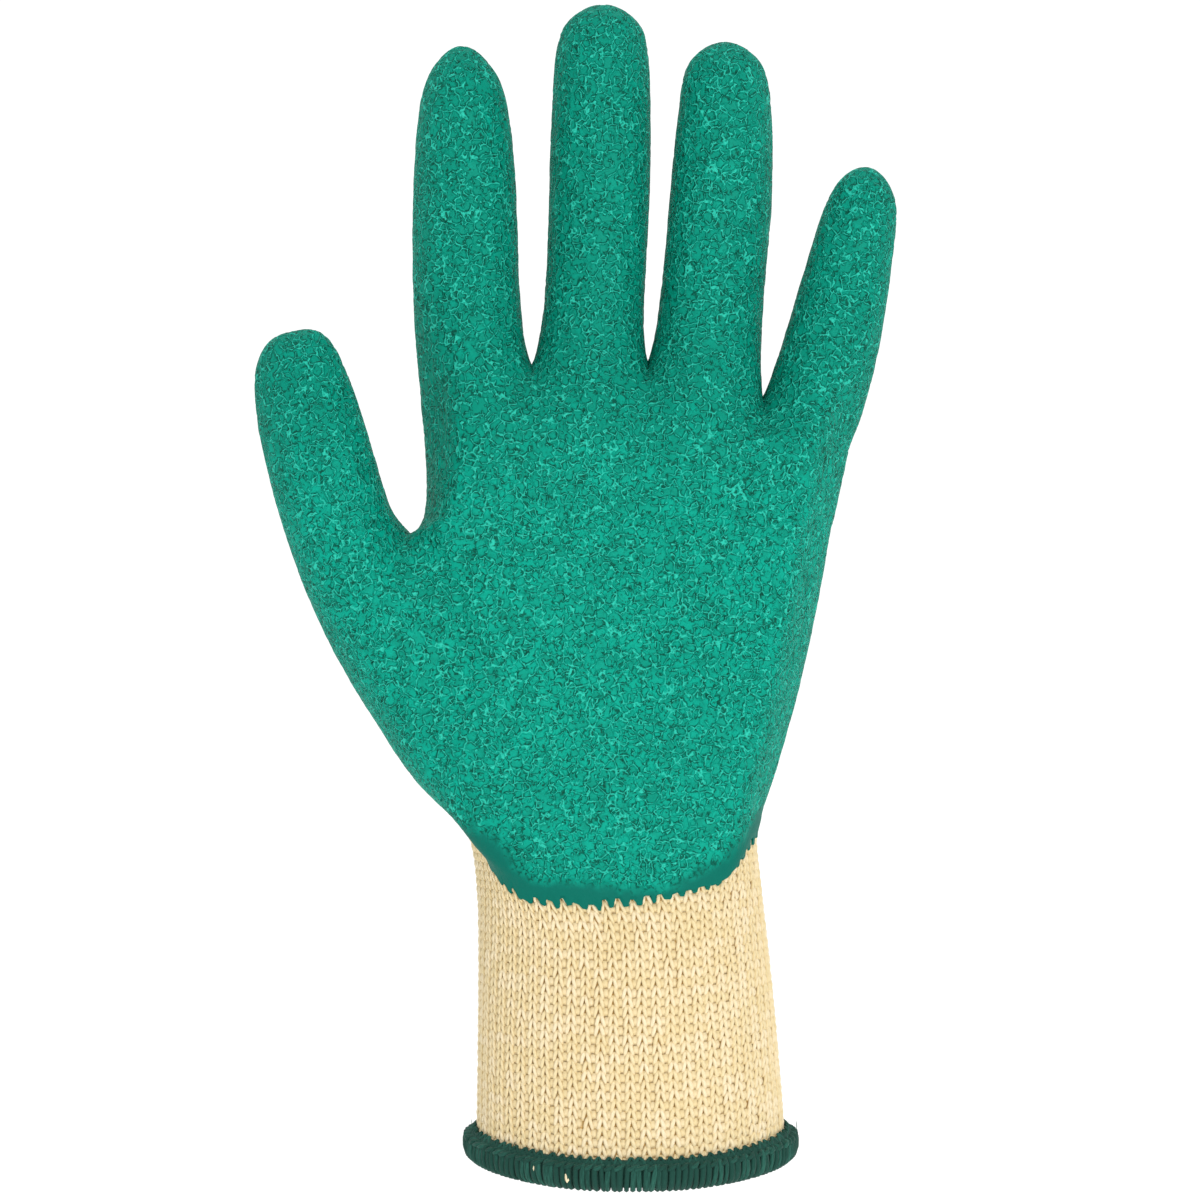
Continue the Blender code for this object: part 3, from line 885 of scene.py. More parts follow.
@dataclass(frozen=True)
class KnitGround:
    """The deeper part of the knit, seen between the stitches and inside the glove.

    The eye gets ochre holes of painted shade down the middle of each wale and softer cream ribs with faint
    spots of painted shade between the wales.
    """

    rib: str = "#E6CE98"
    # The hole and spot colours are painted shade, in the holes down each wale and in the gaps between the stitches.
    hole_shade: str = "#BE9656"
    spot: str = "#DDBA78"
    spot_size: float = 1.8 * MM
    rib_depth: float = 0.35 * MM

    def material(self) -> Material:
        """Builds the nodes of the knit's ground, which follow its wales and courses."""
        material, add = new_material("knitted_cotton_ground")
        step = partial(add, interpolation_type="SMOOTHSTEP")
        split = add("SeparateXYZ", {"Vector": add("UVMap", uv_map="knit")})
        across, along = (add("Math", {0: split.outputs[axis], 1: 0.5}, operation="PINGPONG") for axis in "XY")
        rib = step("MapRange", {"Value": across, "From Min": 0.20, "From Max": 0.10})
        spots = add("TexNoise", {
            "Vector": add("TexCoord").outputs["Object"], "Scale": 1 / self.spot_size, "Detail": 1.0,
        })
        level = add("Math", {0: along, 1: -1.6, 2: spots}, operation="MULTIPLY_ADD")
        spot_shade = step("MapRange", {"Value": level, "From Min": 0.1, "From Max": 0.45})
        # Painted shade: spots in the gaps between the stitches, and holes down the middle of each wale.
        ribbed = add("Mix", {"Factor": spot_shade, 6: linear(self.rib), 7: linear(self.spot)}, data_type="RGBA")
        colour = add("Mix", {"Factor": rib, 6: linear(self.hole_shade), 7: ribbed}, data_type="RGBA")
        height = add("Math", {0: along, 1: rib}, operation="ADD")
        bump = add("Bump", {"Height": height, "Distance": self.rib_depth, "Strength": 0.8})
        add("OutputMaterial", {"Surface": add("BsdfPrincipled", {
            "Base Color": colour, "Roughness": 0.92, "IOR": 1.5, "Specular IOR Level": 0.2, "Normal": bump,
        })})
        return material


@dataclass(frozen=True)
class OverlockYarn:
    """Textured polyester overlock yarn, dyed dark green.

    The eye gets soft matt green wraps with fine filaments along them and near-black gaps between, partly real
    shadow and partly the painted shade of the hem's ground ring.
    """

    light: str = "#2C6658"
    body: str = "#134137"
    filament: float = 0.18 * MM
    filament_depth: float = 0.12 * MM

    def material(self) -> Material:
        """Builds the nodes of the overlock yarn."""
        material, add = new_material("overlock_polyester")
        tone = add("Attribute", attribute_name="tone").outputs["Fac"]
        stretch = add("VectorMath", {0: add("UVMap", uv_map="yarn"), 1: (14.0, 1.2, 1.0)}, operation="MULTIPLY")
        fibres = add("TexNoise", {"Vector": stretch, "Scale": 1.0, "Detail": 3.0})
        fuzz = add("TexNoise", {
            "Vector": add("TexCoord").outputs["Object"], "Scale": 1 / self.filament, "Detail": 2.0,
        })
        level = add("Math", {0: fibres, 1: 0.9, 2: tone}, operation="MULTIPLY_ADD")
        colour = set_ramp(add("ValToRGB", {"Fac": level}), (0.55, self.body), (1.0, self.light))
        height = add("Math", {0: fibres, 1: fuzz}, operation="ADD")
        bump = add("Bump", {"Height": height, "Distance": self.filament_depth, "Strength": 0.8})
        add("OutputMaterial", {"Surface": add("BsdfPrincipled", {
            "Base Color": colour, "Roughness": 0.85, "IOR": 1.5, "Specular IOR Level": 0.25,
            "Sheen Weight": 0.05, "Sheen Roughness": 0.4, "Normal": bump,
        })})
        return material


class YarnPoint(NamedTuple):
    """A point of a yarn's middle line and its half thickness there."""

    across: float
    along: float
    out: float
    radius: float


def yarn_points(line: Iterable[Sequence[float]], across: float = 1) -> list[YarnPoint]:
    """Turns a yarn's line from millimetres to metres, with its places across multiplied."""
    return [YarnPoint(across * a * MM, b * MM, c * MM, d * MM) for a, b, c, d in line]


def sweep_yarn(pool: BMesh, points: Sequence[YarnPoint], sides: int, flatness: float) -> None:
    """Sweeps a round yarn along its points, in the flat.

    Args:
        pool: The mesh that takes it, with a UV map named yarn.
        points: The yarn's middle line.
        sides: Faces round the yarn.
        flatness: Its thickness outwards as a share of its width.
    """
    spoke, yarn = pool.verts.layers.int["spoke"], pool.loops.layers.uv["yarn"]
    middles = [Vector((point.across, point.along, point.out)) for point in points]
    circle = bmesh.ops.create_circle(pool, cap_ends=False, radius=1.0, segments=sides)["verts"]
    for number, vert in enumerate(circle):
        vert[spoke] = number
    edges = list({edge for vert in circle for edge in vert.link_edges})
    layer = circle
    for number, point in enumerate(points):
        before, after = middles[max(number - 1, 0)], middles[min(number + 1, len(points) - 1)]
        heading = (after - before).normalized()
        side = heading.cross(Vector((0.0, 0.0, 1.0))).normalized()
        lift = side.cross(heading)
        if number:
            made = bmesh.ops.extrude_edge_only(pool, edges=edges)["geom"]
            edges, layer = of_kind(made, BMEdge), of_kind(made, BMVert)
            for face in of_kind(made, BMFace):
                wraps = {vert[spoke] for vert in face.verts} == {0, sides - 1}
                for loop in face.loops:
                    turn = sides if wraps and loop.vert[spoke] == 0 else loop.vert[spoke]
                    loop[yarn].uv = (turn / sides, (number if loop.vert in layer else number - 1) * YARN_STEP)
        for vert in layer:
            angle = 2 * math.pi * vert[spoke] / sides
            vert.co = (
                middles[number] + side * (math.cos(angle) * point.radius)
                + lift * (math.sin(angle) * point.radius * flatness)
            )


def new_pool() -> BMesh:
    """Makes an empty mesh that can take yarns."""
    pool = bmesh.new()
    pool.verts.layers.int.new("spoke")
    pool.loops.layers.uv.new("yarn")
    return pool


def flat_mesh(pool: BMesh, name: str) -> Mesh:
    """Turns the pool into a smooth-shaded mesh with its faces outwards, and frees it."""
    bmesh.ops.recalc_face_normals(pool, faces=pool.faces[:])
    put_in_order(pool, lambda vert: vert.co[:])
    for face in pool.faces:
        face.smooth = True
    mesh = bpy.data.meshes.new(name)
    pool.to_mesh(mesh)
    pool.free()
    return mesh


def repeated(mesh: Mesh, counts: Iterable[tuple[int, Vector]]) -> Mesh:
    """Repeats a mesh by arrays and applies them.

    Args:
        mesh: The shape that is repeated.
        counts: How many times, and the step between two.

    Returns:
        The joined mesh, whose copies follow each other in the order of its vertices.
    """
    item = add_piece(mesh.name, mesh)
    for count, step in counts:
        array = item.modifiers.new("array", "ARRAY")
        array.count = count
        array.use_relative_offset, array.use_constant_offset = False, True
        array.constant_offset_displace = step
    joined = evaluated_mesh(item)
    bpy.data.objects.remove(item)
    return joined


def set_values(mesh: Mesh, name: str, values: Sequence[float]) -> None:
    """Stores one number a vertex as an attribute."""
    mesh.attributes.new(name, "FLOAT", "POINT").data.foreach_set("value", values)


@dataclass
class KnitLiner:
    """The seamless knitted glove: a ground shell with a raised stitch at every wale and course that shows."""

    ground_depth: float = 0.66 * MM
    wall: float = 0.50 * MM
    base_height: float = -0.36 * MM
    sides: int = 5
    flatness: float = 0.85
    leg: tuple[tuple[float, float, float, float], ...] = (
        (0.16, 1.25, -0.36, 0.38),
        (0.35, 0.72, 0.00, 0.46),
        (0.58, 0.06, 0.10, 0.48),
        (0.79, -0.62, 0.00, 0.46),
        (0.87, -1.15, -0.34, 0.38),
    )  # one side of a stitch, in millimetres from its middle: across, along, out and half thickness
    bar: tuple[tuple[float, float, float, float], ...] = (
        (0.75, 0.10, -0.38, 0.70),
        (1.20, 0.00, -0.18, 0.96),
        (1.80, 0.00, -0.18, 0.96),
        (2.25, 0.10, -0.38, 0.70),
    )  # the flat bar of yarn between two wales
    bar_flatness: float = 0.34
    knit_shade_heights: tuple[float, float] = (-0.55 * MM, 0.45 * MM)  # heights of the painted shade on the stitches: from a stitch's darkest, deepest yarn to its lightest
    slide: float = 0.04  # how unevenly the stitches lie: across, of a wale
    lift: float = 0.03  # outwards, in millimetres
    stretch: float = 0.05  # and in width, as a share
    first_course: int = 2
    finger_course: int = 76
    top_course: int = 130
    seed: int = 11

    def build(self, form: HandForm, knit: KnitMap) -> None:
        """Builds the ground and the stitches of the cuff and the hand's back."""
        self._ground(form)
        stitch = self._stitch()
        yarn = KnittedCotton().material()
        cuff_top = round(form.cuff_length / COURSE_HEIGHT)
        half = WALES // 2
        for name, wales, courses in (
            ("cuff_back_stitches", (0, half), (self.first_course, cuff_top)),
            ("cuff_palm_stitches", (half, WALES), (self.first_course, cuff_top)),
            ("hand_back_stitches", (0, half), (cuff_top, self.finger_course)),
            ("finger_back_stitches", (0, half), (self.finger_course, self.top_course)),
        ):
            self._stitches(name, stitch, wales, courses, knit, yarn)
        bpy.data.meshes.remove(stitch)

    def _ground(self, form: HandForm) -> None:
        """Builds the knit's ground: the hand's surface, sunk under the stitches and thickened inwards."""
        mesh = form.surface(2)
        with editing(mesh) as sheet:
            sheet.normal_update()
            for vert, away in [(vert, vert.normal.copy()) for vert in sheet.verts]:
                vert.co -= away * self.ground_depth
            for face in sheet.faces:
                face.material_index = 0
        piece = add_piece("knit_ground", mesh)
        wall = piece.modifiers.new("wall", "SOLIDIFY")
        wall.thickness = self.wall
        wall.offset = -1.0
        wall.use_even_offset = True
        finish_piece(piece, "knit_liner", KnitGround().material())

    def _stitch(self) -> Mesh:
        """Builds one stitch in the flat: two legs that meet at the top, and the bar beside them."""
        pool = new_pool()
        for hand in (-1, 1):
            sweep_yarn(pool, yarn_points(self.leg, hand), self.sides, self.flatness)
        sweep_yarn(pool, yarn_points(self.bar), self.sides, self.bar_flatness)
        return flat_mesh(pool, "stitch")

    def _stitches(
        self,
        name: str,
        stitch: Mesh,
        wales: tuple[int, int],
        courses: tuple[int, int],
        knit: KnitMap,
        yarn: Material,
    ) -> None:
        """Repeats the stitch over a field of the knit and lays it on the hand.

        Args:
            name: The piece's name.
            stitch: One stitch in the flat.
            wales: First wale and the one past the last.
            courses: First course and the one past the last.
            knit: The hand's knit map.
            yarn: The stitches' finish.
        """
        rng = random.Random(self.seed)
        field = repeated(stitch.copy(), (
            (wales[1] - wales[0], Vector((WALE_WIDTH, 0.0, 0.0))),
            (courses[1] - courses[0], Vector((0.0, COURSE_HEIGHT, 0.0))),
        ))
        size, width = len(stitch.vertices), wales[1] - wales[0]
        tones, lit_shares, hidden = [], [], set()
        for number in range(len(field.vertices) // size):
            wale, course = wales[0] + number % width + 0.5, courses[0] + number // width + 0.5
            shown = knit.takes_stitch(wale, course)
            tone, slide, lift = rng.random(), rng.gauss(0, self.slide), rng.gauss(0, self.lift) * MM
            stretch = 1 + rng.gauss(0, self.stretch)
            own = range(number * size, (number + 1) * size)
            for index in own:
                vert = field.vertices[index]
                tones.append(tone * 0.5)
                # Painted shade: the lower a point of a stitch lies, the more of the shadow colour it takes.
                lit_shares.append(smoothstep(*self.knit_shade_heights, vert.co.z))
                if shown:
                    across = (vert.co.x / WALE_WIDTH - number % width) * stretch
                    up = courses[0] + vert.co.y / COURSE_HEIGHT + 0.5
                    vert.co = knit.near((wale, course), wale + across + slide, up,
                                        vert.co.z + self.base_height + lift)
            if not shown:
                hidden.update(own)
        set_values(field, "tone", tones)
        set_values(field, "depth", lit_shares)
        with editing(field) as kept:
            kept.verts.ensure_lookup_table()
            bmesh.ops.delete(kept, geom=[kept.verts[index] for index in hidden], context="VERTS")
        finish_piece(add_piece(name, field), "knit_liner", yarn)


@dataclass
class LatexCoating:
    """The crinkled latex skin over the palm, the fingers' sides and tips and the thumb."""

    height: float = 1.02 * MM
    edge_height: float = 0.26 * MM
    ramp: float = 4.0 * MM  # from an edge to the coating's full height
    tuck: float = 0.9 * MM  # how far the skin's edge turns in
    longest_edge: float = 1.05 * MM
    fine_reach: float = 3.2 * MM  # from the lower edge, where the mesh is finest
    fade: float = 4.5 * MM  # from an edge, where its strays end
    notch_depth: tuple[float, float] = (0.5 * MM, 2.1 * MM)
    notch_width: tuple[float, float] = (0.28, 0.42)  # half of it, of a wale
    tooth_drop: float = 0.9 * MM
    step: float = 0.9 * MM  # how far the lower edge steps up and down from wale to wale
    edge_run: tuple[tuple[float, float], ...] = (
        (-31.0, 0.0), (-28.7, 1.3), (-24.9, 1.5), (-21.0, -0.2), (-6.8, -0.4), (1.7, -1.3), (10.1, -1.8),
        (17.7, -2.5), (22.8, -2.8), (25.7, -0.8), (28.0, 0.0),
    )  # millimetres across the palm, and how far the lower edge there runs below its even line
    step_run: float = 1.7  # wales from one such step to the next
    tooth_fade: float = 2.4 * MM
    wander: float = 0.9 * MM  # how far the edge on the back strays
    strays: tuple[tuple[float, float], ...] = ((9 * MM, 1.4), (2.2 * MM, 0.9))  # length of a stray and its share
    rim_rounds: int = 30
    lower_edge: float = 0.0655
    edge_blend: float = 2 * MM  # above and below that height the edges pass into each other
    band: float = 3.2 * MM  # how high the latex lies flat along the lower edge
    band_fade: float = 3.6 * MM
    band_spread: float = 2.6 * MM
    band_run: float = 14 * MM
    band_sides: tuple[float, float] = (15 * MM, 32 * MM)  # from the cuff's middle, where the band gets higher
    middle: float = -3 * MM
    rim_band: tuple[float, float] = (0.2 * MM, 1.4 * MM)  # how far the latex lies flat along every edge
    crease: float = 1.6 * MM
    crease_height: float = 0.22 * MM
    flat_share: float = 0.12  # of that height, where the latex lies flat
    seed: int = 5

    def _tooth(self, wale: float, x: float, notches: Sequence[tuple[float, float, float]]) -> float:
        """Gives how far the latex has run down at a wale and x, in metres below its even edge."""
        depth, half, slide = notches[int(wale) % WALES]
        away = abs(wale % 1.0 - 0.5 - slide)
        run = noise.noise(Vector((wale / self.step_run, 0.0, 0.0))) * self.step
        for (low, first), (high, second) in zip(self.edge_run, self.edge_run[1:]):
            if low * MM <= x < high * MM:
                run += blend(first, second, (x / MM - low) / (high - low)) * MM
        return self.tooth_drop + run - depth * smoothstep(half, half * 0.45, away)

    def _crinkle(self, place: Vector) -> float:
        """Gives the crinkle's height at a place, as a share."""
        bent = place / self.crease + noise.noise_vector(place / (1.3 * self.crease)) * 0.7
        near = noise.voronoi(bent)[0]
        ridge = 1 - smoothstep(0.0, 0.45, near[1] - near[0])
        return ridge * 0.8 + noise.noise(place / (2.6 * self.crease)) * 0.5 - 0.2

    def _rim_moves(
        self, rim: Sequence[BMVert], uv: BMLayerItem, knit: KnitMap
    ) -> tuple[list[Vector], list[Vector]]:
        """Works out how each point of the skin's edge strays from the net's line.

        Args:
            rim: The vertices along the edge.
            uv: The skin's knit map.
            knit: The hand's knit map.

        Returns:
            For each vertex of the rim its move, and what the notch at its wale adds.
        """
        beside = {
            vert: [edge.other_vert(vert) for edge in vert.link_edges if edge.is_boundary] for vert in rim
        }
        places = {vert: vert.co.copy() for vert in rim}
        for _ in range(self.rim_rounds):
            places = {
                vert: places[vert].lerp(sum((places[other] for other in near), Vector()) / len(near), 0.5)
                for vert, near in beside.items()
            }
        rng = random.Random(self.seed)
        notches = [
            (rng.uniform(*self.notch_depth), rng.uniform(*self.notch_width), rng.uniform(-0.1, 0.1))
            for _ in range(WALES)
        ]
        moves, teeth = [], []
        for vert in rim:
            lower = smoothstep(self.lower_edge + self.edge_blend, self.lower_edge - self.edge_blend, vert.co.z)
            tooth = Vector()
            if lower:
                wale, course = vert.link_loops[0][uv].uv
                down = knit.at(wale, course - 1, 0.0) - knit.at(wale, course, 0.0)
                tooth = down.normalized() * self._tooth(wale, vert.co.x, notches) * lower
            inner = sum((face.calc_center_median() for face in vert.link_faces), Vector()) / len(vert.link_faces)
            stray = sum(noise.noise(vert.co / length) * share for length, share in self.strays)
            stray *= self.wander * (1 - 0.6 * lower)
            moves.append(places[vert] - vert.co + (vert.co - inner).normalized() * stray)
            teeth.append(tooth)
        return moves, teeth

    def build(self, form: HandForm, knit: KnitMap) -> None:
        """Builds the skin: the coated surface, lifted, crinkled, ragged along its edges and tucked in."""
        # Blender sets the offsets of noise_vector by the clock unless it is given a seed.
        noise.seed_set(self.seed)
        mesh = form.surface(4)
        skin = bmesh.new()
        skin.from_mesh(mesh)
        hand = BVHTree.FromBMesh(skin)
        bare = [face for face in skin.faces if face.material_index == Zone.BARE.value]
        bmesh.ops.delete(skin, geom=bare, context="FACES")
        long = [edge for edge in skin.edges if edge.calc_length() > self.longest_edge]
        bmesh.ops.subdivide_edges(skin, edges=long, cuts=1, use_grid_fill=True)
        low = self._tree(vert.co for vert in self._rim(skin) if vert.co.z < self.lower_edge)
        near = {vert for vert in skin.verts if low.find(vert.co)[2] < self.fine_reach}
        fine = [edge for edge in skin.edges if edge.verts[0] in near and edge.verts[1] in near]
        bmesh.ops.subdivide_edges(skin, edges=fine, cuts=1, use_grid_fill=True)
        skin.normal_update()
        rim = self._rim(skin)
        edge_tree = self._tree(vert.co for vert in rim)
        moves, teeth = self._rim_moves(rim, skin.loops.layers.uv["knit"], knit)
        crinkled = skin.verts.layers.float.new("crinkled")
        placed = []
        for vert in skin.verts:
            _, nearest, away = edge_tree.find(vert.co)
            lower = low.find(vert.co)[2]
            band = self.band + self.band_spread * noise.noise(vert.co / self.band_run)
            band += self.band_spread * smoothstep(*self.band_sides, abs(vert.co.x - self.middle))
            flat = smoothstep(band, band + self.band_fade, lower + noise.noise(vert.co / (1.5 * MM)) * MM)
            vert[crinkled] = flat * smoothstep(*self.rim_band, away)
            rise = blend(self.edge_height, self.height, smoothstep(0.0, self.ramp, away))
            rise += self._crinkle(vert.co) * self.crease_height * blend(self.flat_share, 1.0, vert[crinkled])
            place = vert.co
            if away < self.fade:
                move = moves[nearest] * (1 - smoothstep(0.0, self.fade, away))
                move += teeth[nearest] * (1 - smoothstep(0.0, self.tooth_fade, away))
                place = hand.find_nearest(vert.co + move)[0]
            placed.append((vert, place + vert.normal * rise, vert.normal.copy()))
        normals = {}
        for vert, place, away in placed:
            vert.co = place
            normals[tuple(place)] = away
        edges = [edge for edge in skin.edges if edge.is_boundary]
        made = bmesh.ops.extrude_edge_only(skin, edges=edges)["geom"]
        for vert in of_kind(made, BMVert):
            vert.co -= normals[tuple(vert.co)] * self.tuck
        for face in skin.faces:
            face.material_index = 0
            face.smooth = True
        skin.to_mesh(mesh)
        skin.free()
        finish_piece(add_piece("crinkled_coating", mesh), "latex_coating", CrinkledLatex().material())

    @staticmethod
    def _rim(skin: BMesh) -> list[BMVert]:
        """Gives the vertices along the skin's open edges."""
        return [vert for vert in skin.verts if vert.is_boundary]

    @staticmethod
    def _tree(places: Iterable[Vector]) -> KDTree:
        """Gives a search tree of the places."""
        found = [place.copy() for place in places]
        tree = KDTree(len(found))
        for number, place in enumerate(found):
            tree.insert(place, number)
        tree.balance()
        return tree


@dataclass
class OverlockHem:
    """The overlocked hem: yarn wrapped round the cuff's raw edge, with chains of loops along its top."""

    wraps: int = 142
    loops: int = 86
    wrap_radius: float = 0.62 * MM
    sides: int = 6
    ground_steps: int = 180
    # The ground ring's tone, below every wrap's: a painted shade between the wraps.
    ground_shade_tone: float = -0.6
    wrap_spread: float = 0.10  # how unevenly the wraps lie, as a share of the space between two
    loop_spread: float = 0.06
    seed: int = 3
    wrap_line: tuple[tuple[float, float], ...] = (
        (0.95, 4.05), (1.95, 3.75), (2.42, 2.75), (2.40, 1.30), (2.00, 0.00), (1.10, -0.75), (0.00, -0.95),
        (-1.20, -0.90), (-2.10, -0.20), (-2.52, 1.10), (-2.50, 2.60), (-2.05, 3.60), (-1.60, 4.05),
    )  # millimetres out from the cuff's outer face and up from its edge
    ground_line: tuple[tuple[float, float], ...] = (
        (0.10, 5.1), (1.05, 4.9), (1.95, 3.2), (2.00, 1.2), (1.60, 0.1), (0.90, -0.5), (-0.10, -0.65),
        (-1.20, -0.55), (-1.80, 0.0), (-2.15, 1.2), (-2.10, 2.7), (-1.90, 4.0), (-1.30, 4.9), (-1.30, 0.2),
        (0.10, 0.2),
    )  # the same of the ring below the wraps
    chains: tuple[tuple[str, int, float, float, float, float], ...] = (
        ("hem_outer_loops", 1, 2.25, 2.55, 1.35, 0.55),
        ("hem_inner_loops", -1, -2.30, -2.60, -2.30, -1.60),
    )  # of each chain: its name, which way is out, and how far out its low end, rope, shoulder and tip stand
    flecks: tuple[tuple[float, ...], ...] = (
        (-19.0, 1.2, 2.5, 0.1, 2.0, 0.50),
        (-12.8, 0.2, 2.5, -0.2, 2.2, 0.60),
    )
    fibres: tuple[tuple[float, ...], ...] = (
        (31.0, 3.9, 1.9, 0.9, 3.4, 0.09),
        (32.2, 4.2, 1.2, -0.8, 3.0, 0.08),
        (33.0, 3.6, 2.4, 1.4, 2.6, 0.09),
        (27.5, 4.6, 1.0, 0.7, 2.4, 0.07),
        (-32.0, 4.4, 1.3, -0.9, 2.6, 0.08),
        (-24.0, 4.9, 1.0, 0.8, 1.8, 0.07),
    )  # of each stray in millimetres: its place across, up and out, its lean, length and half thickness

    def __post_init__(self) -> None:
        """Starts with no route: build finds it."""
        self.route: list[Vector] = []
        self.reach: list[float] = []

    def _find_route(self, form: HandForm) -> None:
        """Finds the cuff's lower edge and the length walked along it."""
        mesh = form.surface(3)
        with editing(mesh) as edge:
            rim = [vert.co.copy() for vert in edge.verts if vert.is_boundary]
        bpy.data.meshes.remove(mesh)
        rim.sort(key=lambda place: math.atan2(place.y, place.x))
        self.route = [*rim, rim[0]]
        self.reach = [0.0]
        for before, after in zip(self.route, self.route[1:]):
            self.reach.append(self.reach[-1] + (after - before).length)

    def at(self, along: float, out: float, up: float) -> Vector:
        """Places a point of the hem.

        Args:
            along: Length walked round the cuff.
            out: How far it stands out from the cuff's outer face.
            up: How far it stands above the cuff's edge.

        Returns:
            The point in space.
        """
        walked = along % self.reach[-1]
        low, high = 0, len(self.reach) - 1
        while high - low > 1:
            middle = (low + high) // 2
            low, high = (middle, high) if self.reach[middle] <= walked else (low, middle)
        share = (walked - self.reach[low]) / (self.reach[high] - self.reach[low])
        place = self.route[low].lerp(self.route[high], share)
        heading = self.route[high] - self.route[low]
        outward = Vector((heading.y, -heading.x, 0.0)).normalized()
        return place + outward * out + Vector((0.0, 0.0, up))

    def build(self, form: HandForm) -> None:
        """Builds the hem's ground, its wraps and its two chains."""
        self._find_route(form)
        yarn = OverlockYarn().material()
        self._ground(yarn)
        self._wraps(yarn)
        self._chains(yarn)
        self._strays("hem_flecks", self.flecks, "knit_liner", KnittedCotton().material())
        self._strays("hem_fibres", self.fibres, "overlock_hem", yarn)

    def _ground(self, yarn: Material) -> None:
        """Builds the closed ring of yarn that shows between the wraps, set to the yarn's darkest tone as a painted
        shade.
        """
        ring = new_pool()
        tone = ring.verts.layers.float.new("tone")
        points = [ring.verts.new(self.at(0.0, out * MM, up * MM)) for out, up in self.ground_line]
        edges = [ring.edges.new((first, second)) for first, second in zip(points, [*points[1:], points[0]])]
        where = dict(zip(points, self.ground_line))
        for number in range(1, self.ground_steps):
            made = bmesh.ops.extrude_edge_only(ring, edges=edges)["geom"]
            placed = {}
            for vert in of_kind(made, BMVert):
                old = next(other for edge in vert.link_edges if (other := edge.other_vert(vert)) in where)
                placed[vert] = where[old]
                out, up = where[old]
                vert.co = self.at(self.reach[-1] * number / self.ground_steps, out * MM, up * MM)
            edges, where = of_kind(made, BMEdge), placed
        bmesh.ops.bridge_loops(ring, edges=[edge for edge in ring.edges if edge.is_boundary])
        for vert in ring.verts:
            vert[tone] = self.ground_shade_tone
        finish_piece(add_piece("hem_ground", flat_mesh(ring, "hem_ground")), "overlock_hem", yarn)

    def _lay(self, name: str, mesh: Mesh, size: int, pitch: float, spread: float,
             yarn: Material) -> None:
        """Lays a row of flat yarns on the hem.

        Args:
            name: The piece's name.
            mesh: The row: along the hem, up and out as x, y and z.
            size: Vertices of one yarn.
            pitch: Length between two.
            spread: How unevenly they lie, as a share of the pitch.
            yarn: The finish.
        """
        rng = random.Random(self.seed + size)
        tones = []
        for number in range(len(mesh.vertices) // size):
            slide, lean, fat = rng.gauss(0, spread) * pitch, rng.gauss(0, 0.06), 1 + rng.gauss(0, 0.12)
            tone = rng.uniform(-0.15, 0.35)
            for index in range(number * size, (number + 1) * size):
                vert = mesh.vertices[index]
                local = vert.co.x - number * pitch
                along = number * pitch + local * fat + slide + lean * vert.co.y
                vert.co = self.at(along, vert.co.z, vert.co.y)
                tones.append(tone)
        set_values(mesh, "tone", tones)
        finish_piece(add_piece(name, mesh), "overlock_hem", yarn)

    def _wraps(self, yarn: Material) -> None:
        """Builds the yarn wraps that run down the hem, under the edge and up inside."""
        pitch = self.reach[-1] / self.wraps
        pool = new_pool()
        points = [
            YarnPoint(0.0, up * MM, out * MM, self.wrap_radius * (0.8 if number in (0, 12) else 1.0))
            for number, (out, up) in enumerate(self.wrap_line)
        ]
        self._sweep_upright(pool, points)
        one = flat_mesh(pool, "wrap")
        size = len(one.vertices)
        row = repeated(one, ((self.wraps, Vector((pitch, 0.0, 0.0))),))
        self._lay("hem_wraps", row, size, pitch, self.wrap_spread, yarn)

    def _sweep_upright(self, pool: BMesh, points: Sequence[YarnPoint]) -> None:
        """Sweeps a yarn whose path stays in the plane across the hem."""
        turned = [YarnPoint(point.out, point.along, 0.0, point.radius) for point in points]
        sweep_yarn(pool, turned, self.sides, 1.0)
        bmesh.ops.rotate(pool, verts=pool.verts[:], matrix=Matrix.Rotation(-math.pi / 2, 3, "Y"))

    def _chains(self, yarn: Material) -> None:
        """Builds the rope of slanting loops and the pointed loops above it, outside and inside."""
        pitch = self.reach[-1] / self.loops
        half = pitch / MM / 2
        for name, hand, low, rope, shoulder, tip in self.chains:
            pool = new_pool()
            sweep_yarn(pool, yarn_points((
                (-0.95 * half, 3.05, low - 0.25 * hand, 0.30),
                (-0.55 * half, 3.30, rope, 0.46),
                (0.20 * half, 3.70, rope - 0.05 * hand, 0.50),
                (0.95 * half, 4.00, shoulder + 0.30 * hand, 0.42),
                (1.35 * half, 4.05, shoulder - 0.40 * hand, 0.30),
            )), self.sides, 0.9)
            for side in (-1, 1):
                sweep_yarn(pool, yarn_points((
                    (0.90 * half, 3.70, shoulder - 0.25 * hand, 0.34),
                    (0.75 * half, 4.45, shoulder - 0.30 * hand, 0.38),
                    (0.38 * half, 5.10, tip + 0.15 * hand, 0.36),
                    (0.05 * half, 5.60, tip - 0.35 * hand, 0.26),
                ), side), self.sides, 0.9)
            one = flat_mesh(pool, "loop")
            size = len(one.vertices)
            row = repeated(one, ((self.loops, Vector((pitch, 0.0, 0.0))),))
            self._lay(name, row, size, pitch, self.loop_spread, yarn)

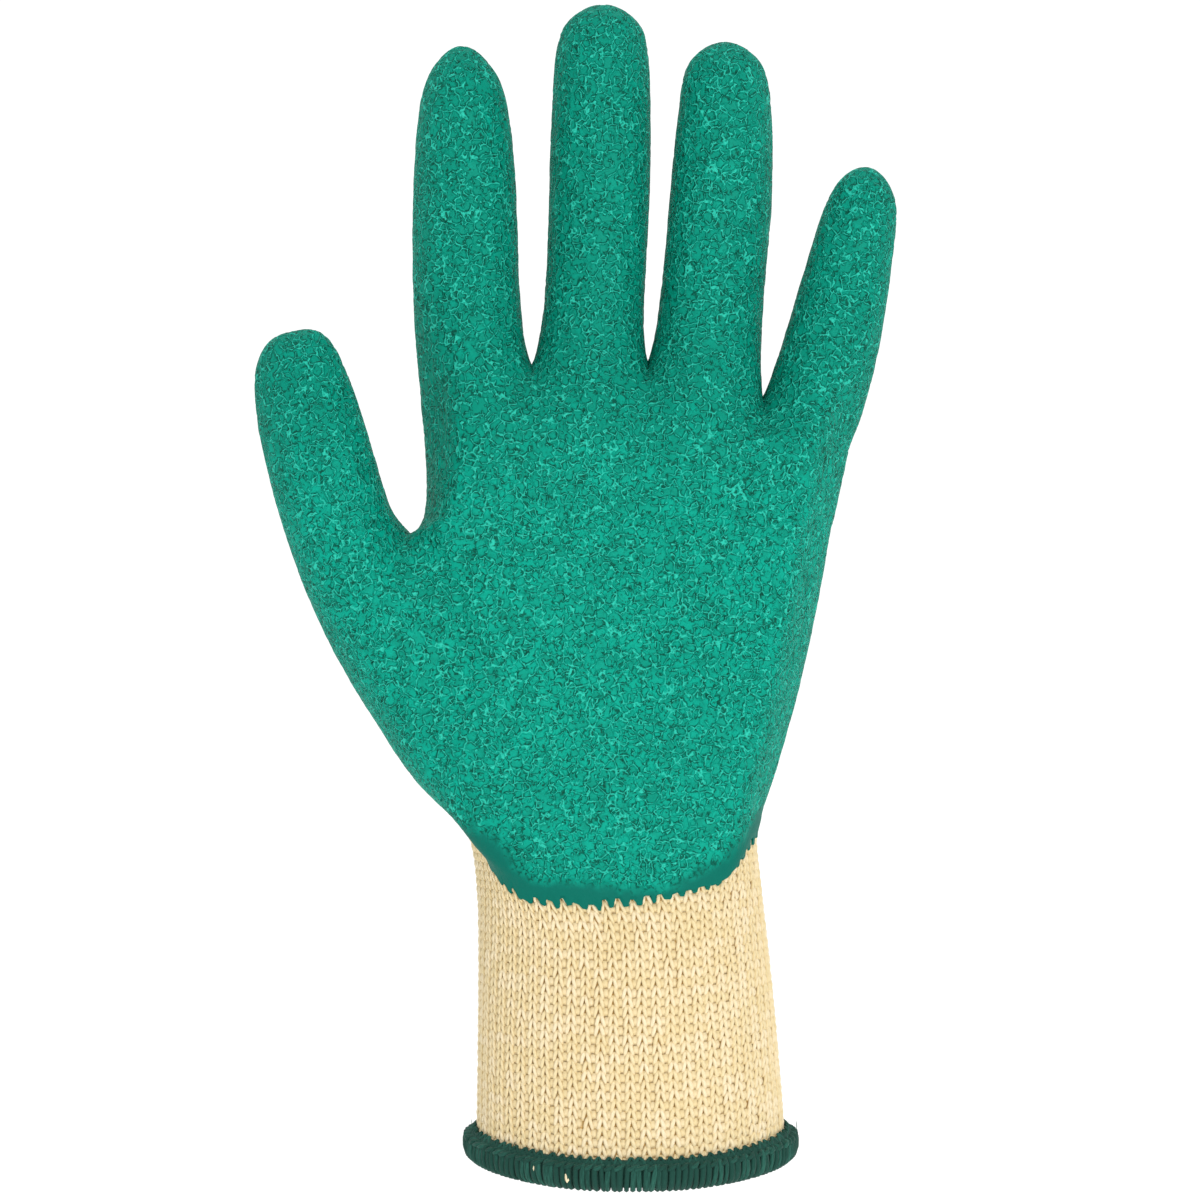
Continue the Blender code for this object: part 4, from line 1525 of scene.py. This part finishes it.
    def _strays(
        self, name: str, strays: Sequence[Sequence[float]], node: str, finish: Material
    ) -> None:
        """Builds the flecks of knit that show between the wraps, or the loose fibres above them.

        Args:
            name: The piece's name.
            strays: Where each is and how it runs.
            node: The node of the CAD that it belongs to.
            finish: Its finish.
        """
        front = [number for number, place in enumerate(self.route) if place.y < 0]
        pool = new_pool()
        for x, up, out, lean, length, radius in strays:
            nearest = min(front, key=lambda number: abs(self.route[number].x - x * MM))
            along = self.reach[nearest]
            sweep_yarn(pool, [
                YarnPoint(along + lean * share ** 2 * MM, (up + length * share) * MM,
                          (out + 0.5 * lean * share * (1 - share)) * MM, radius * thick * MM)
                for share, thick in ((0.0, 0.3), (0.25, 0.9), (0.55, 1.0), (0.8, 0.8), (1.0, 0.2))
            ], self.sides, 0.9)
        mesh = flat_mesh(pool, name)
        for vert in mesh.vertices:
            vert.co = self.at(vert.co.x, vert.co.z, vert.co.y)
        # The strays take none of the knit's painted shade.
        for layer, value in (("tone", 0.4), ("depth", 1.0)):
            set_values(mesh, layer, [value] * len(mesh.vertices))
        finish_piece(add_piece(name, mesh), node, finish)


@dataclass
class Studio:
    """A pale floor, soft light from the front and above, and a camera straight in front of the palm."""

    target: tuple[float, float, float] = (-0.00633, 0.0, 0.116)
    distance: float = 0.9
    lens: float = 127.96
    sensor: float = 36.0
    floor_drop: float = 0.30
    floor_size: float = 12.0
    clip: tuple[float, float] = (0.05, 50.0)
    ceiling: float = 0.75  # soft light from straight above, which keeps the floor as pale as the background
    surround: tuple[float, float] = (0.32, 1.08)  # low in front of the palm, and above and behind the hand
    lamps: tuple[tuple[str, tuple[float, float, float], float, float], ...] = (
        ("key", (0.18, -0.52, 0.08), 0.30, 1.5),
        ("fill", (-0.75, -1.2, 0.30), 0.8, 1.5),
    )  # name, place, size in metres and power in watts

    def build(self) -> None:
        """Builds the floor, the lights and the camera."""
        bpy.context.scene.view_settings.view_transform = "Standard"
        self._floor()
        self._lights()
        data = bpy.data.cameras.new("camera")
        data.sensor_width = self.sensor
        data.lens = self.lens
        data.clip_start, data.clip_end = self.clip
        camera = bpy.data.objects.new("camera", data)
        camera.location = Vector(self.target) - Vector((0.0, self.distance, 0.0))
        camera.rotation_euler = (math.pi / 2, 0.0, 0.0)
        bpy.context.scene.collection.objects.link(camera)
        bpy.context.scene.camera = camera

    def _floor(self) -> None:
        """Builds the plain pale floor, well below the glove."""
        mesh = bpy.data.meshes.new("floor")
        with editing(mesh) as sheet:
            bmesh.ops.create_grid(sheet, x_segments=1, y_segments=1, size=self.floor_size)
            bmesh.ops.translate(sheet, verts=sheet.verts[:], vec=(0.0, 0.0, -self.floor_drop))
        floor = add_piece("floor", mesh)
        material, add = new_material("painted_floor")
        add("OutputMaterial", {"Surface": add("BsdfPrincipled", {
            "Base Color": linear("#FAFAF9"), "Roughness": 0.9, "Specular IOR Level": 0.1,
        })})
        mesh.materials.append(material)

    def _lights(self) -> None:
        """Lights the scene evenly from all round, and softly from the front and above."""
        world = bpy.data.worlds.new("studio")
        world.use_nodes = True
        tree = world.node_tree
        heading = add_node(tree, "TexCoord").outputs["Generated"]
        upward = add_node(tree, "VectorMath", {0: heading, 1: (0.0, 0.7, 0.7)}, operation="DOT_PRODUCT")
        low, high = self.surround
        level = add_node(tree, "MapRange", {
            "Value": upward.outputs["Value"], "From Min": -0.55, "From Max": 0.6, "To Min": low, "To Max": high,
        }, interpolation_type="SMOOTHSTEP")
        tree.nodes["Background"].inputs["Color"].default_value = (1.0, 1.0, 1.0, 1.0)
        tree.links.new(level.outputs["Result"], tree.nodes["Background"].inputs["Strength"])
        bpy.context.scene.world = world
        for name, place, size, power in self.lamps:
            data = bpy.data.lights.new(name, "AREA")
            data.energy = power
            data.size = size
            light = bpy.data.objects.new(name, data)
            light.location = place
            light.rotation_euler = (Vector(self.target) - Vector(place)).to_track_quat("-Z", "Y").to_euler()
            bpy.context.scene.collection.objects.link(light)
        ceiling = bpy.data.lights.new("ceiling", "SUN")
        ceiling.energy = self.ceiling
        ceiling.angle = 1.0
        bpy.context.scene.collection.objects.link(bpy.data.objects.new("ceiling", ceiling))


def main() -> None:
    """Builds the glove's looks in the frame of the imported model."""
    logging.basicConfig(level=logging.INFO, format="%(name)s: %(message)s")
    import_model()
    Studio().build()
    form = HandForm()
    knit = KnitMap(form)
    LatexCoating().build(form, knit)
    KnitLiner().build(form, knit)
    OverlockHem().build(form)
    form.clear()


if __name__ == "__main__":
    main()
